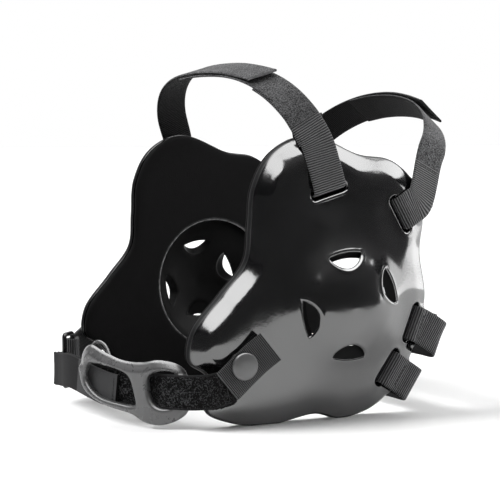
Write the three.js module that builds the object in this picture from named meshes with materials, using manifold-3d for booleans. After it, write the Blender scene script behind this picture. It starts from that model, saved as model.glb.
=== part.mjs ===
// Wrestling head guard: two lobed ear shells with foam liners, joined by crown, nape and chin straps.
// Millimetres. +X is the wearer's left, -Y the face, +Z up, and the lower lobes stand on z = 0.
// Each ear shell has a frame of its own at the ear centre: u rearward, v up, w away from the head.
import * as THREE from 'three';
import { mergeVertices } from 'three/addons/utils/BufferGeometryUtils.js';
import Module from 'manifold-3d';

const wasm = await Module();
wasm.setup();

const LEFT = 1;
const RIGHT = -1;

// Where the ear shells stand
const EAR_X = 65.7;
const EAR_Y = 15.4;
const EAR_HEIGHT = 61.6;
const SHELL_YAW = THREE.MathUtils.degToRad(2.85);
const SHELL_LEAN = THREE.MathUtils.degToRad(1.5);

// Ear shell and liner
const OUTLINE_SAMPLES = 46;
const CREST_HEIGHT = 24;
const BOWL_HEIGHT = 20;
const SHELL_FACE = 2.8;
const LINER_TOP = 2.5;
const LINER_FACE = -0.5;
const EAR_HOLE_RADIUS = 37.6;
const GROUND_SIZE = 400;

// Lobes and hollows of the shell's edge, from the front crown lobe forward and round under the ear
const OUTLINE = [
  { place: 'front crown lobe', u: -20, v: 89 },
  { place: 'front crown shoulder', u: -41.5, v: 79.8 },
  { place: 'temple', u: -52, v: 62 },
  { place: 'brow', u: -54, v: 42 },
  { place: 'eye hollow', u: -56, v: 24.5 },
  { place: 'cheek slope', u: -70, v: 7.5 },
  { place: 'cheek front', u: -85.5, v: -11 },
  { place: 'cheek tip', u: -87, v: -26 },
  { place: 'cheek underside', u: -78, v: -32.6 },
  { place: 'jaw hollow', u: -70.5, v: -41.5 },
  { place: 'jaw lobe front', u: -77, v: -52 },
  { place: 'jaw lobe', u: -60, v: -60.2 },
  { place: 'jaw lobe foot', u: -38, v: -62 },
  { place: 'foot notch', u: -13, v: -58.5 },
  { place: 'rear foot', u: 2, v: -62 },
  { place: 'rear foot heel', u: 23, v: -57 },
  { place: 'lower nape lobe', u: 39, v: -43 },
  { place: 'nape', u: 48, v: -26 },
  { place: 'upper nape lobe', u: 54.5, v: 0 },
  { place: 'rear waist', u: 50.5, v: 26 },
  { place: 'rear crown edge', u: 52, v: 47 },
  { place: 'rear crown lobe', u: 45, v: 64.5 },
  { place: 'rear crown top', u: 31, v: 75.5 },
  { place: 'crown hollow', u: 12, v: 78.5 },
];

// Sections of the shell: a circle about the ear (share 0) that turns into the inset outline (share 1)
const SHELL_OUTSIDE = [
  { radius: 11, inset: 0, share: 0, height: 23.2 },
  { radius: 21, inset: 0, share: 0, height: 20.6 },
  { radius: 29, inset: 0, share: 0, height: 16.9 },
  { radius: 37, inset: 14, share: 0.45, height: 13.4 },
  { radius: 0, inset: 13, share: 1, height: 10.6 },
  { radius: 0, inset: 6, share: 1, height: 9 },
  { radius: 0, inset: 1.8, share: 1, height: 6.4 },
  { radius: 0, inset: 0, share: 1, height: 3.8 },
];
const SHELL_INSIDE = [
  { radius: 0, inset: 0.5, share: 1, height: SHELL_FACE },
  { radius: 38.4, inset: 0, share: 0, height: SHELL_FACE },
  { radius: 36.2, inset: 0, share: 0, height: 7 },
  { radius: 29, inset: 0, share: 0, height: 12.8 },
  { radius: 16, inset: 0, share: 0, height: 18 },
];
const LINER_SECTIONS = [
  { radius: EAR_HOLE_RADIUS + 0.6, inset: 0, share: 0, height: LINER_TOP },
  { radius: 0, inset: 1.8, share: 1, height: LINER_TOP },
  { radius: 0, inset: 0.8, share: 1, height: 1.6 },
  { radius: 0, inset: 0.9, share: 1, height: 0.4 },
  { radius: 0, inset: 2.4, share: 1, height: LINER_FACE },
  { radius: EAR_HOLE_RADIUS + 1, inset: 0, share: 0, height: LINER_FACE },
  { radius: EAR_HOLE_RADIUS, inset: 0, share: 0, height: 0.6 },
];

// Half-moon vents through the dome, at these angles round the ear from the rear (degrees)
const VENT_ANGLES = [{ angle: 21.5 }, { angle: 97 }, { angle: 192 }, { angle: 269.5 }];
const VENT = {
  radius: 25.5, height: 16.6, tilt: 46, halfWidth: 9.5, innerBulge: 7, outerBulge: 3, length: 28,
};

// Webbing and its slots. Each strap leaves its slot at a heading from the rear (degrees), runs over the shell
// at a height that falls towards the edge, and is sewn to its own inner layer just past the edge
const STRAP_WIDTH = 19;
const STRAP_THICKNESS = 1.4;
const SLOT = { length: 21.4, near: 3, far: 2, corner: 1.2 };
const POCKET_ROOF = 5.3;
const POCKET_RUN = 4;
const CUT_PAST_EDGE = 14;
const CUT_REACH = 45;
const LAYER_GAP = 0.3;
const LAYER_LIFT = (STRAP_THICKNESS + LAYER_GAP) / 2;
// A strap's way through its slot: t from the slot or its edge, w from the pocket run or the outer run
const SLOT_INNER = [
  { fromEdge: 1, t: 1, w: 0.2 },
  { fromEdge: 1, t: -5, w: 0 },
  { fromEdge: 0, t: 2.6, w: 0 },
  { fromEdge: 0, t: 0.2, w: 1.2 },
  { fromEdge: 0, t: -0.5, w: 4 },
];
const SLOT_OUTER = [{ t: -0.5, w: -2.2 }, { t: 0.5, w: -0.6 }, { t: 2.8, w: 0 }];
const SLOT_LAST = 4;
const SLOT_BOW = { share: 0.55, fall: 0.25 };
const SLOTS = {
  frontCrown: { u: -10.4, v: 60.3, heading: 106, run: 13.4, fall: 2.6, sewn: 9, tuck: 8 },
  rearCrown: { u: 34.5, v: 47, heading: 31, run: 12.2, fall: 1.6, sewn: 4, tuck: 6.6 },
  upperNape: { u: 43, v: -12, heading: -22, run: 13, fall: 1, sewn: 5, tuck: 3.6 },
  lowerNape: { u: 27.8, v: -35.2, heading: -33, run: 13, fall: 1, sewn: 3, tuck: 3.6 },
};

// Crown arcs: height above the ear where an arc starts, its rise and half span, its lean from upright, and
// how far the right half bows rearward above its shell
const CROWN = {
  frontCrown: {
    middle: 2, halfSpan: 79, base: 72, rise: 52, power: 2.6, baseU: -12.6, lean: 25, twist: 16,
    startAngle: 26, leftEnd: 104, rightEnd: 121, rightBow: 0,
  },
  rearCrown: {
    middle: 1, halfSpan: 75, base: 68, rise: 38.5, power: 2.1, baseU: 49.5, lean: -40, twist: -40,
    startAngle: 12, leftEnd: 112, rightEnd: 124, rightBow: 9,
  },
};
const ARC_STATIONS = 9;

// Nape straps: how far past the edge a strap turns inward, how much it drops there, and how far past the
// middle it ends
const NAPE = {
  upperNape: { straight: 12.5, drop: 4, overlap: 24 },
  lowerNape: { straight: 9, drop: 0, overlap: 24 },
};
// The turn inward, from where the straight part ends
const NAPE_BEND = [
  { t: -4, lifted: 0, fall: 0.6, w: -1.6 },
  { t: -1, lifted: 1, fall: 0.9, w: -4.6 },
  { t: 0, lifted: 1, fall: 1, w: -9 },
  { t: 0.6, lifted: 1, fall: 1, w: -18 },
];
const NAPE_BOW = 2;

// Chin tabs and snaps, in the frame of their shell
const SNAP = { u: -60.5, v: -28.2, capRadius: 7.2, capHeight: 2.6, postRadius: 2.6, socketRadius: 5 };
const SNAP_SEAT = 10.9;
const SNAP_SIDES = 13;
const SNAP_HOLE_PLAY = 0.4;
const CAP_RIM = 0.45;
const CAP_SHOULDER = { radius: 0.86, height: 0.85 };
const TAB_THICKNESS = 2;
const TAB_HEIGHT = 14.6;
const LEFT_TAB = { startU: -46.5, startV: -18.5, endU: -69.6, endV: -38 };
const RIGHT_TAB = { startU: -44, startV: -26.6, endU: -73, endV: -28.2 };
// Lift of a tab above its height: its rear end stands off the dome
const TAB_LIFTS = [
  { share: 0, lift: 2.4 },
  { share: 0.18, lift: 1 },
  { share: 0.34, lift: 0 },
  { share: 1, lift: 0 },
];

// Rectangular ring at the right cheek
const RING = {
  x: -55.5, y: -84.9, height: 27, turn: 48, wide: 13, tall: 27, bar: 2.2, thickness: 2.2, corner: 3,
};
const RING_BAR = RING.wide / 2 - RING.bar / 2;
const RING_BAR_CORNER = (RING.bar * Math.SQRT2) / 2;
// Where the right tab nears the ring and where its folded end lies, from the ring's rear bar
const TAB_FOLD = RING_BAR_CORNER + TAB_THICKNESS / 2 + LAYER_GAP;
const TAB_NEARS = { along: -9, out: TAB_FOLD + 0.4 };
const TAB_RETURNS = [{ along: -5, out: -0.8 }, { along: -9, out: TAB_FOLD - TAB_THICKNESS - LAYER_GAP }];

// Chin strap from the left tab round to the ring, then folded back on itself
const CHIN_WIDTH = 18;
const CHIN_THICKNESS = 1.5;
const CHIN_ROUTE = [
  { x: 73, y: -61.9, z: 20.8 },
  { x: 66, y: -70.9, z: 19.8 },
  { x: 50, y: -80.4, z: 19.4 },
  { x: 35, y: -87.9, z: 19.4 },
  { x: 20, y: -94.4, z: 20.2 },
  { x: 4, y: -99.9, z: 22 },
  { x: -14, y: -101.15, z: 24 },
  { x: -33, y: -97.45, z: 25.8 },
];
const CHIN_START = { u: -67.6, v: -38.5, w: 12.3 };
const CHIN_FOLD = RING_BAR_CORNER + CHIN_THICKNESS / 2 + LAYER_GAP;
// The run's last points and the return layer's first, from the ring's front bar
const CHIN_NEARS = [{ along: 10, out: -1 }, { along: 4, out: -2 }, { along: 0, out: -CHIN_FOLD }];
const CHIN_LEAVES = { along: 5, out: 1.9 };
// Where the return layer lies on the run, back from the run's end
const CHIN_JOIN = 11.5;
const CHIN_RETURN = 66;
const CHIN_RUN_STEPS = 26;
const CHIN_RETURN_STEPS = 9;

// Chin cup: outline and windows in its flat form, s along the strap towards the left, h above its middle
const CUP_THICKNESS = 4;
const CUP_MIDDLE = 0.345;
const CUP_EDGE_POINTS = 42;
const CUP_WINDOW_POINTS = 22;
const CUP_FACET = 14;
const CUP_OUTLINE = [
  { s: -36, h: 2 }, { s: -32, h: -9 }, { s: -21, h: -15 }, { s: -8, h: -16 }, { s: 6, h: -17.6 },
  { s: 18, h: -17 }, { s: 26.5, h: -10.5 }, { s: 28.5, h: 1 }, { s: 23, h: 12.5 }, { s: 13, h: 16 },
  { s: 4, h: 14.6 }, { s: -8, h: 14.2 }, { s: -20, h: 15.4 }, { s: -30, h: 16 }, { s: -35, h: 12 },
];
const CUP_WINDOWS = [
  [
    { s: -31, h: -3 }, { s: -30.2, h: 8.6 }, { s: -24, h: 10.6 }, { s: -12, h: 10 }, { s: -6, h: 7 },
    { s: -2.4, h: -3 }, { s: -0.5, h: -10.4 }, { s: -13, h: -11.2 }, { s: -25.5, h: -9.9 },
  ],
  [
    { s: 4.6, h: 7.4 }, { s: 4.6, h: 1 }, { s: 7, h: -6.5 }, { s: 12, h: -11.4 }, { s: 18.6, h: -11 },
    { s: 23.4, h: -4.6 }, { s: 23.8, h: 3.6 }, { s: 19.6, h: 9.8 }, { s: 11, h: 10.6 },
  ],
];
// How far the cup stands outside the strap's middle, along its length
const CUP_OFFSETS = [{ s: -40, out: 5.4 }, { s: -12, out: 5 }, { s: 6, out: 3.7 }, { s: 25, out: -4.6 }];

const COLOURS = {
  shell: { color: 0x0b0b0c, roughness: 0.16, metalness: 0 },
  liner: { color: 0x0d0d0e, roughness: 0.85, metalness: 0 },
  webbing: { color: 0x1c1c1e, roughness: 0.8, metalness: 0 },
  pile: { color: 0x111112, roughness: 0.95, metalness: 0 },
  moulded: { color: 0x232324, roughness: 0.32, metalness: 0 },
  snap: { color: 0x2a2a2b, roughness: 0.35, metalness: 0.4 },
};

const guard = new THREE.Group();

/** Adds one named piece with its own material. */
function addPiece(name, geometry, colour) {
  const mesh = new THREE.Mesh(geometry, new THREE.MeshStandardMaterial(COLOURS[colour]));
  mesh.name = name;
  guard.add(mesh);
}

/** Axes of an ear shell's frame, as directions in the guard. */
function earAxes(side) {
  const outward = new THREE.Vector3(Math.cos(SHELL_YAW), -Math.sin(SHELL_YAW), 0);
  const up = new THREE.Vector3(0, 0, 1);
  const u = new THREE.Vector3(Math.sin(SHELL_YAW), Math.cos(SHELL_YAW), 0);
  const v = up.clone().multiplyScalar(Math.cos(SHELL_LEAN)).addScaledVector(outward, Math.sin(SHELL_LEAN));
  const w = outward.multiplyScalar(Math.cos(SHELL_LEAN)).addScaledVector(up, -Math.sin(SHELL_LEAN));
  const mirror = new THREE.Vector3(side, 1, 1);
  return { u: u.multiply(mirror), v: v.multiply(mirror), w: w.multiply(mirror) };
}

/** Direction in the guard of a direction in an ear shell's frame. */
function earVector(side, u, v, w) {
  const axes = earAxes(side);
  return new THREE.Vector3().addScaledVector(axes.u, u).addScaledVector(axes.v, v).addScaledVector(axes.w, w);
}

/** Point in the guard of a point in an ear shell's frame. */
function earPoint(side, u, v, w) {
  return new THREE.Vector3(side * EAR_X, EAR_Y, EAR_HEIGHT).add(earVector(side, u, v, w));
}

/** Matrix that lays out a tool in an ear shell's frame: its x and y turned, its z along the given normal. */
function earMatrix(side, at, xDirection, normal) {
  const z = earVector(side, ...normal).normalize();
  const x = earVector(side, ...xDirection).normalize();
  const y = z.clone().cross(x);
  return new THREE.Matrix4().makeBasis(x, y, z).setPosition(earPoint(side, ...at));
}

/** Smooth closed curve through table rows, in the plane of the two named columns. */
function closedCurve(rows, first, second) {
  const points = rows.map((row) => new THREE.Vector3(row[first], row[second], 0));
  return new THREE.CatmullRomCurve3(points, true, 'centripetal');
}

/** Points of the shell's edge with their inward normals, counter-clockwise seen from outside. */
function outlinePoints() {
  const points = closedCurve(OUTLINE, 'u', 'v').getSpacedPoints(OUTLINE_SAMPLES).slice(0, OUTLINE_SAMPLES);
  return points.map((point, index) => {
    const before = points[(index + OUTLINE_SAMPLES - 1) % OUTLINE_SAMPLES];
    const after = points[(index + 1) % OUTLINE_SAMPLES];
    const along = after.clone().sub(before).normalize();
    return { u: point.x, v: point.y, inU: -along.y, inV: along.x };
  });
}

const outline = outlinePoints();

/** Distance from the ear centre to the shell's edge at an angle from the rear (radians). */
function edgeRadius(angle) {
  const ray = new THREE.Vector2(Math.cos(angle), Math.sin(angle));
  let radius = 0;
  outline.forEach((start, index) => {
    const end = outline[(index + 1) % OUTLINE_SAMPLES];
    const crossStart = ray.x * start.v - ray.y * start.u;
    const crossEnd = ray.x * end.v - ray.y * end.u;
    const share = crossStart / (crossStart - crossEnd);
    const u = THREE.MathUtils.lerp(start.u, end.u, share);
    const v = THREE.MathUtils.lerp(start.v, end.v, share);
    const along = ray.x * u + ray.y * v;
    if (crossStart <= 0 && crossEnd > 0 && along > 0) {
      radius = along;
    }
  });
  return radius;
}

/** Distance from a slot to the shell's edge along its strap. */
function edgeDistance(slot) {
  const angle = THREE.MathUtils.degToRad(slot.heading);
  const step = 0.25;
  let travel = 0;
  let inside = true;
  while (inside) {
    travel += step;
    const u = slot.u + travel * Math.cos(angle);
    const v = slot.v + travel * Math.sin(angle);
    inside = Math.hypot(u, v) < edgeRadius(Math.atan2(v, u));
  }
  return travel;
}

/** Geometry from coordinates and the corners of its faces. */
function meshGeometry(coordinates, index) {
  const geometry = new THREE.BufferGeometry();
  geometry.setAttribute('position', new THREE.Float32BufferAttribute(coordinates, 3));
  geometry.setIndex(index);
  geometry.computeVertexNormals();
  return geometry;
}

/** One section of a shell or liner, as points in the guard. */
function sectionRing(side, section) {
  return outline.map((edge) => {
    const radius = Math.hypot(edge.u, edge.v);
    const circleU = (edge.u / radius) * section.radius;
    const circleV = (edge.v / radius) * section.radius;
    const insetU = edge.u + edge.inU * section.inset;
    const insetV = edge.v + edge.inV * section.inset;
    const u = THREE.MathUtils.lerp(circleU, insetU, section.share);
    const v = THREE.MathUtils.lerp(circleV, insetV, section.share);
    return earPoint(side, u, v, section.height);
  });
}

/** Closed surface over rings of points. Poles close its ends; without them the last ring meets the first. */
function ringSurface(rings, poles, flip) {
  const count = rings[0].length;
  const points = rings.flat().concat(poles);
  const faces = [];
  const spans = poles.length ? rings.length - 1 : rings.length;
  for (let row = 0; row < spans; row += 1) {
    const next = (row + 1) % rings.length;
    for (let column = 0; column < count; column += 1) {
      const right = (column + 1) % count;
      const here = row * count;
      const there = next * count;
      faces.push([here + column, there + right, here + right]);
      faces.push([here + column, there + column, there + right]);
    }
  }
  if (poles.length) {
    const firstPole = rings.length * count;
    const lastRow = (rings.length - 1) * count;
    for (let column = 0; column < count; column += 1) {
      const right = (column + 1) % count;
      faces.push([firstPole, column, right], [firstPole + 1, lastRow + right, lastRow + column]);
    }
  }
  const index = faces.flatMap((face) => (flip ? [face[0], face[2], face[1]] : face));
  return meshGeometry(points.flatMap((point) => point.toArray()), index);
}

/** Solid for cutting, from a closed geometry. */
function solidOf(geometry) {
  const bare = geometry.clone();
  bare.deleteAttribute('normal');
  bare.deleteAttribute('uv');
  const merged = mergeVertices(bare, 1e-4);
  const vertProperties = new Float32Array(merged.attributes.position.array);
  const triVerts = new Uint32Array(merged.index.array);
  return new wasm.Manifold(new wasm.Mesh({ numProp: 3, vertProperties, triVerts }));
}

/** Geometry of a cut solid. */
function geometryOf(solid) {
  const mesh = solid.getMesh();
  return meshGeometry(Array.from(mesh.vertProperties), Array.from(mesh.triVerts));
}

/** Cutter for one vent: a half-moon run through the dome along the tilted axis. */
function ventCutter(side, angleDegrees) {
  const angle = THREE.MathUtils.degToRad(angleDegrees);
  const tilt = THREE.MathUtils.degToRad(VENT.tilt);
  const radial = [Math.cos(angle), Math.sin(angle)];
  const moon = new THREE.Shape();
  moon.absellipse(0, 0, VENT.halfWidth, VENT.outerBulge, 0, Math.PI, false, 0);
  moon.absellipse(0, 0, VENT.halfWidth, VENT.innerBulge, Math.PI, Math.PI * 2, false, 0);
  const run = { depth: VENT.length, bevelEnabled: false, curveSegments: 5 };
  const cutter = new THREE.ExtrudeGeometry(moon, run);
  cutter.translate(0, 0, -VENT.length / 2);
  const axis = [radial[0] * Math.sin(tilt), radial[1] * Math.sin(tilt), Math.cos(tilt)];
  const at = [radial[0] * VENT.radius, radial[1] * VENT.radius, VENT.height];
  const across = [radial[1] * side, -radial[0] * side, 0];
  return solidOf(cutter.applyMatrix4(earMatrix(side, at, across, axis)));
}

/** Strap direction and slot direction in the shell's plane. */
function slotDirections(slot) {
  const angle = THREE.MathUtils.degToRad(slot.heading);
  return { along: [Math.cos(angle), Math.sin(angle)], across: [Math.sin(angle), -Math.cos(angle)] };
}

/** Cutter for one strap slot, with the pocket that takes the strap's inner run out to the edge. */
function slotCutter(side, slot) {
  const { along, across } = slotDirections(slot);
  const half = SLOT.length / 2 - SLOT.corner;
  const mouth = new THREE.Shape();
  mouth.absarc(half, SLOT.far - SLOT.corner, SLOT.corner, 0, Math.PI / 2, false);
  mouth.absarc(-half, SLOT.far - SLOT.corner, SLOT.corner, Math.PI / 2, Math.PI, false);
  mouth.absarc(-half, -SLOT.near + SLOT.corner, SLOT.corner, Math.PI, Math.PI * 1.5, false);
  mouth.absarc(half, -SLOT.near + SLOT.corner, SLOT.corner, Math.PI * 1.5, Math.PI * 2, false);
  const slit = new THREE.ExtrudeGeometry(mouth, { depth: CUT_REACH, bevelEnabled: false, curveSegments: 2 });
  const past = edgeDistance(slot) + CUT_PAST_EDGE;
  const pocket = new THREE.BoxGeometry(SLOT.length, past, POCKET_ROOF);
  pocket.translate(0, past / 2, POCKET_ROOF / 2);
  const matrix = earMatrix(side, [slot.u, slot.v, 0], [side * across[0], side * across[1], 0], [0, 0, 1]);
  return solidOf(slit.applyMatrix4(matrix)).add(solidOf(pocket.applyMatrix4(matrix)));
}

/** Cutter for the dimple that the snap's socket sits in. */
function dimpleCutter(side) {
  const radius = SNAP.socketRadius + LAYER_GAP;
  const dimple = new THREE.CylinderGeometry(radius, radius, CUT_REACH, SNAP_SIDES);
  dimple.rotateX(Math.PI / 2);
  const middle = SNAP_SEAT - LAYER_GAP + CUT_REACH / 2;
  return solidOf(dimple.applyMatrix4(earMatrix(side, [SNAP.u, SNAP.v, middle], [1, 0, 0], [0, 0, 1])));
}

/** Ear shell with its vents, slots and pockets cut, flattened where it stands. */
function earShell(side) {
  const rings = SHELL_OUTSIDE.concat(SHELL_INSIDE).map((section) => sectionRing(side, section));
  const poles = [earPoint(side, 0, 0, CREST_HEIGHT), earPoint(side, 0, 0, BOWL_HEIGHT)];
  let shell = solidOf(ringSurface(rings, poles, side === RIGHT));
  VENT_ANGLES.forEach((vent) => {
    shell = shell.subtract(ventCutter(side, vent.angle));
  });
  Object.values(SLOTS).forEach((slot) => {
    shell = shell.subtract(slotCutter(side, slot));
  });
  shell = shell.subtract(dimpleCutter(side));
  const ground = new THREE.BoxGeometry(GROUND_SIZE, GROUND_SIZE, GROUND_SIZE);
  ground.translate(0, 0, -GROUND_SIZE / 2);
  return geometryOf(shell.subtract(solidOf(ground)));
}

/** Foam liner: a thin lobed pad with the ear hole. */
function earLiner(side) {
  const rings = LINER_SECTIONS.map((section) => sectionRing(side, section));
  return ringSurface(rings, [], side === RIGHT);
}

/** Flat band along stations, each with a point and the direction across the band. */
function ribbon(stations, width, thickness, stepsPerSpan) {
  const spans = stations.length - 1;
  const curve = new THREE.CatmullRomCurve3(stations.map((station) => station.at), false, 'centripetal');
  const rings = [];
  for (let step = 0; step <= spans * stepsPerSpan; step += 1) {
    const share = step / (spans * stepsPerSpan);
    const span = Math.min(Math.floor(share * spans), spans - 1);
    const blend = share * spans - span;
    const tangent = curve.getTangent(share);
    const across = stations[span].across.clone().lerp(stations[span + 1].across, blend);
    across.addScaledVector(tangent, -across.dot(tangent)).normalize();
    const normal = tangent.clone().cross(across);
    const middle = curve.getPoint(share);
    const corners = [[1, 1], [-1, 1], [-1, -1], [1, -1]];
    rings.push(corners.map(([a, n]) => middle.clone()
      .addScaledVector(across, (a * width) / 2)
      .addScaledVector(normal, (n * thickness) / 2)));
  }
  return boxSurface(rings);
}

/** Closed surface over four-cornered rings, with flat ends. */
function boxSurface(rings) {
  const faces = [[0, 2, 1], [0, 3, 2]];
  rings.slice(1).forEach((ring, row) => {
    for (let corner = 0; corner < 4; corner += 1) {
      const next = (corner + 1) % 4;
      const here = row * 4;
      const there = here + 4;
      // Both flat faces share one diagonal, so that the band keeps its thickness where it twists
      if (corner < 2) {
        faces.push([here + corner, here + next, there + next], [here + corner, there + next, there + corner]);
      } else {
        faces.push([here + corner, here + next, there + corner], [here + next, there + next, there + corner]);
      }
    }
  });
  const last = (rings.length - 1) * 4;
  faces.push([last, last + 1, last + 2], [last, last + 2, last + 3]);
  return meshGeometry(rings.flat().flatMap((point) => point.toArray()), faces.flat());
}

/** Stations of a strap from its sewn return, through the pocket and slot, to the outer run past the edge. */
function slotStations(side, slot) {
  const { along, across } = slotDirections(slot);
  const edge = edgeDistance(slot);
  const last = edge - SLOT_LAST;
  const path = [
    { t: edge + slot.sewn, w: slot.run - slot.tuck },
    { t: edge + slot.sewn / 2, w: (slot.run - slot.tuck + POCKET_RUN) / 2 },
    ...SLOT_INNER.map((row) => ({ t: row.fromEdge * edge + row.t, w: POCKET_RUN + row.w })),
    ...SLOT_OUTER.map((row) => ({ t: row.t, w: slot.run + row.w })),
    { t: last * SLOT_BOW.share, w: slot.run - slot.fall * SLOT_BOW.fall },
    { t: last, w: slot.run - slot.fall },
  ];
  const direction = earVector(side, across[0], across[1], 0);
  return path.map(({ t, w }) => ({
    at: earPoint(side, slot.u + along[0] * t, slot.v + along[1] * t, w),
    across: direction,
  }));
}

/** Half of a crown strap: folded through its slot, then over the head past the middle. */
function crownStrap(side, key) {
  const arc = CROWN[key];
  const stations = slotStations(side, SLOTS[key]);
  const lean = THREE.MathUtils.degToRad(arc.lean);
  const twist = THREE.MathUtils.degToRad(arc.twist);
  const across = new THREE.Vector3(0, Math.cos(twist), Math.sin(twist));
  if (across.dot(stations[0].across) < 0) {
    across.negate();
  }
  const lift = side === LEFT ? -LAYER_LIFT : LAYER_LIFT;
  const end = side === LEFT ? arc.leftEnd : arc.rightEnd;
  for (let index = 0; index < ARC_STATIONS; index += 1) {
    const share = index / (ARC_STATIONS - 1);
    const angle = THREE.MathUtils.degToRad(THREE.MathUtils.lerp(arc.startAngle, end, share));
    const reach = Math.sign(Math.cos(angle)) * Math.abs(Math.cos(angle)) ** (2 / arc.power);
    const climb = Math.sin(angle) ** (2 / arc.power) * (arc.rise + lift);
    const x = arc.middle + side * reach * (arc.halfSpan + lift);
    const bow = side === RIGHT ? arc.rightBow * (1 - share) ** 2 : 0;
    const y = EAR_Y + arc.baseU + bow - climb * Math.tan(lean);
    stations.push({ at: new THREE.Vector3(x, y, EAR_HEIGHT + arc.base + climb), across });
  }
  return ribbon(stations, STRAP_WIDTH, STRAP_THICKNESS, 2);
}

/** Half of a nape strap: folded through its slot, then round behind the head past the middle. */
function napeStrap(side, key) {
  const slot = SLOTS[key];
  const nape = NAPE[key];
  const { along, across } = slotDirections(slot);
  const stations = slotStations(side, slot);
  const direction = earVector(side, across[0], across[1], 0);
  const lift = side === LEFT ? -LAYER_LIFT : LAYER_LIFT;
  const straightEnd = edgeDistance(slot) + nape.straight;
  NAPE_BEND.forEach((row) => {
    const t = straightEnd + row.t + row.lifted * lift;
    const v = slot.v + along[1] * t - row.fall * nape.drop;
    stations.push({ at: earPoint(side, slot.u + along[0] * t, v, slot.run + row.w), across: direction });
  });
  const last = stations[stations.length - 1].at;
  const level = new THREE.Vector3(0, direction.y, direction.z).normalize();
  [0.5, 0, (-nape.overlap / last.x) * side].forEach((share) => {
    const y = last.y + NAPE_BOW * (1 - Math.abs(share));
    stations.push({ at: new THREE.Vector3(last.x * share, y, last.z), across: level });
  });
  return ribbon(stations, STRAP_WIDTH, STRAP_THICKNESS, 2);
}

/** Snap: cap, post through the tab and socket on the shell, turned about its own axis. */
function chinSnap(side) {
  const tabTop = TAB_HEIGHT + TAB_THICKNESS / 2 + LAYER_GAP;
  const tabUnder = TAB_HEIGHT - TAB_THICKNESS / 2 - LAYER_GAP;
  const profile = [
    { radius: 0, height: SNAP_SEAT },
    { radius: SNAP.socketRadius, height: SNAP_SEAT },
    { radius: SNAP.socketRadius, height: tabUnder },
    { radius: SNAP.postRadius, height: tabUnder },
    { radius: SNAP.postRadius, height: tabTop },
    { radius: SNAP.capRadius, height: tabTop },
    { radius: SNAP.capRadius, height: tabTop + SNAP.capHeight * CAP_RIM },
    { radius: SNAP.capRadius * CAP_SHOULDER.radius, height: tabTop + SNAP.capHeight * CAP_SHOULDER.height },
    { radius: 0, height: tabTop + SNAP.capHeight },
  ];
  const points = profile.map((row) => new THREE.Vector2(row.radius, row.height));
  const lathe = new THREE.LatheGeometry(points, SNAP_SIDES);
  lathe.rotateX(Math.PI / 2);
  const upright = earMatrix(side, [SNAP.u, SNAP.v, 0], [1, 0, 0], [0, 0, 1]);
  return geometryOf(solidOf(lathe.applyMatrix4(upright)));
}

/** A tab with the hole that the snap's post goes through. */
function pierced(side, tab) {
  const radius = SNAP.postRadius + SNAP_HOLE_PLAY;
  const hole = new THREE.CylinderGeometry(radius, radius, 3 * TAB_THICKNESS, SNAP_SIDES);
  hole.rotateX(Math.PI / 2);
  const place = earMatrix(side, [SNAP.u, SNAP.v, TAB_HEIGHT], [1, 0, 0], [0, 0, 1]);
  return geometryOf(solidOf(tab).subtract(solidOf(hole.applyMatrix4(place))));
}

/** Stations along the flat stretch of a tab, over its shell. */
function tabStations(side, tab) {
  const heading = new THREE.Vector2(tab.endU - tab.startU, tab.endV - tab.startV).normalize();
  const across = earVector(side, heading.y, -heading.x, 0);
  return TAB_LIFTS.map(({ share, lift }) => {
    const u = THREE.MathUtils.lerp(tab.startU, tab.endU, share);
    const v = THREE.MathUtils.lerp(tab.startV, tab.endV, share);
    return { at: earPoint(side, u, v, TAB_HEIGHT + lift), across };
  });
}

/** Left tab: a short piece of webbing that the chin strap is sewn under. */
function leftTab() {
  return pierced(LEFT, ribbon(tabStations(LEFT, LEFT_TAB), STRAP_WIDTH, TAB_THICKNESS, 2));
}

/** Directions of the ring: along the strap from the tab, and out from the head. */
function ringDirections() {
  const turn = THREE.MathUtils.degToRad(RING.turn);
  return {
    along: new THREE.Vector3(Math.cos(turn), -Math.sin(turn), 0),
    out: new THREE.Vector3(-Math.sin(turn), -Math.cos(turn), 0),
  };
}

/** Point beside the ring's middle. */
function ringPoint(along, out) {
  const directions = ringDirections();
  return new THREE.Vector3(RING.x, RING.y, RING.height)
    .addScaledVector(directions.along, along)
    .addScaledVector(directions.out, out);
}

/** Rectangular ring with round corners. */
function chinRing() {
  const frame = new THREE.Shape();
  const window = new THREE.Path();
  roundedBox(frame, RING.wide / 2, RING.tall / 2, RING.corner);
  roundedBox(window, RING.wide / 2 - RING.bar, RING.tall / 2 - RING.bar, RING.corner - RING.bar / 2);
  frame.holes.push(window);
  const run = { depth: RING.thickness, bevelEnabled: false, curveSegments: 3 };
  const ring = new THREE.ExtrudeGeometry(frame, run);
  ring.translate(0, 0, -RING.thickness / 2);
  const { along, out } = ringDirections();
  const basis = new THREE.Matrix4().makeBasis(along, new THREE.Vector3(0, 0, 1), out);
  return ring.applyMatrix4(basis.setPosition(RING.x, RING.y, RING.height));
}

/** Rectangle with round corners about the middle of a path. */
function roundedBox(path, halfWide, halfTall, corner) {
  path.absarc(halfWide - corner, halfTall - corner, corner, 0, Math.PI / 2, false);
  path.absarc(-halfWide + corner, halfTall - corner, corner, Math.PI / 2, Math.PI, false);
  path.absarc(-halfWide + corner, -halfTall + corner, corner, Math.PI, Math.PI * 1.5, false);
  path.absarc(halfWide - corner, -halfTall + corner, corner, Math.PI * 1.5, Math.PI * 2, false);
}

/** Stations of a half turn round a bar of the ring and through its window, from the given face. */
function barTurn(bar, fold, outFirst, across) {
  return [90, 45, 0, -45, -90].map((turned) => {
    const angle = THREE.MathUtils.degToRad(turned);
    const along = bar - Math.sign(bar) * fold * Math.cos(angle);
    return { at: ringPoint(along, outFirst * fold * Math.sin(angle)), across };
  });
}

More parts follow.
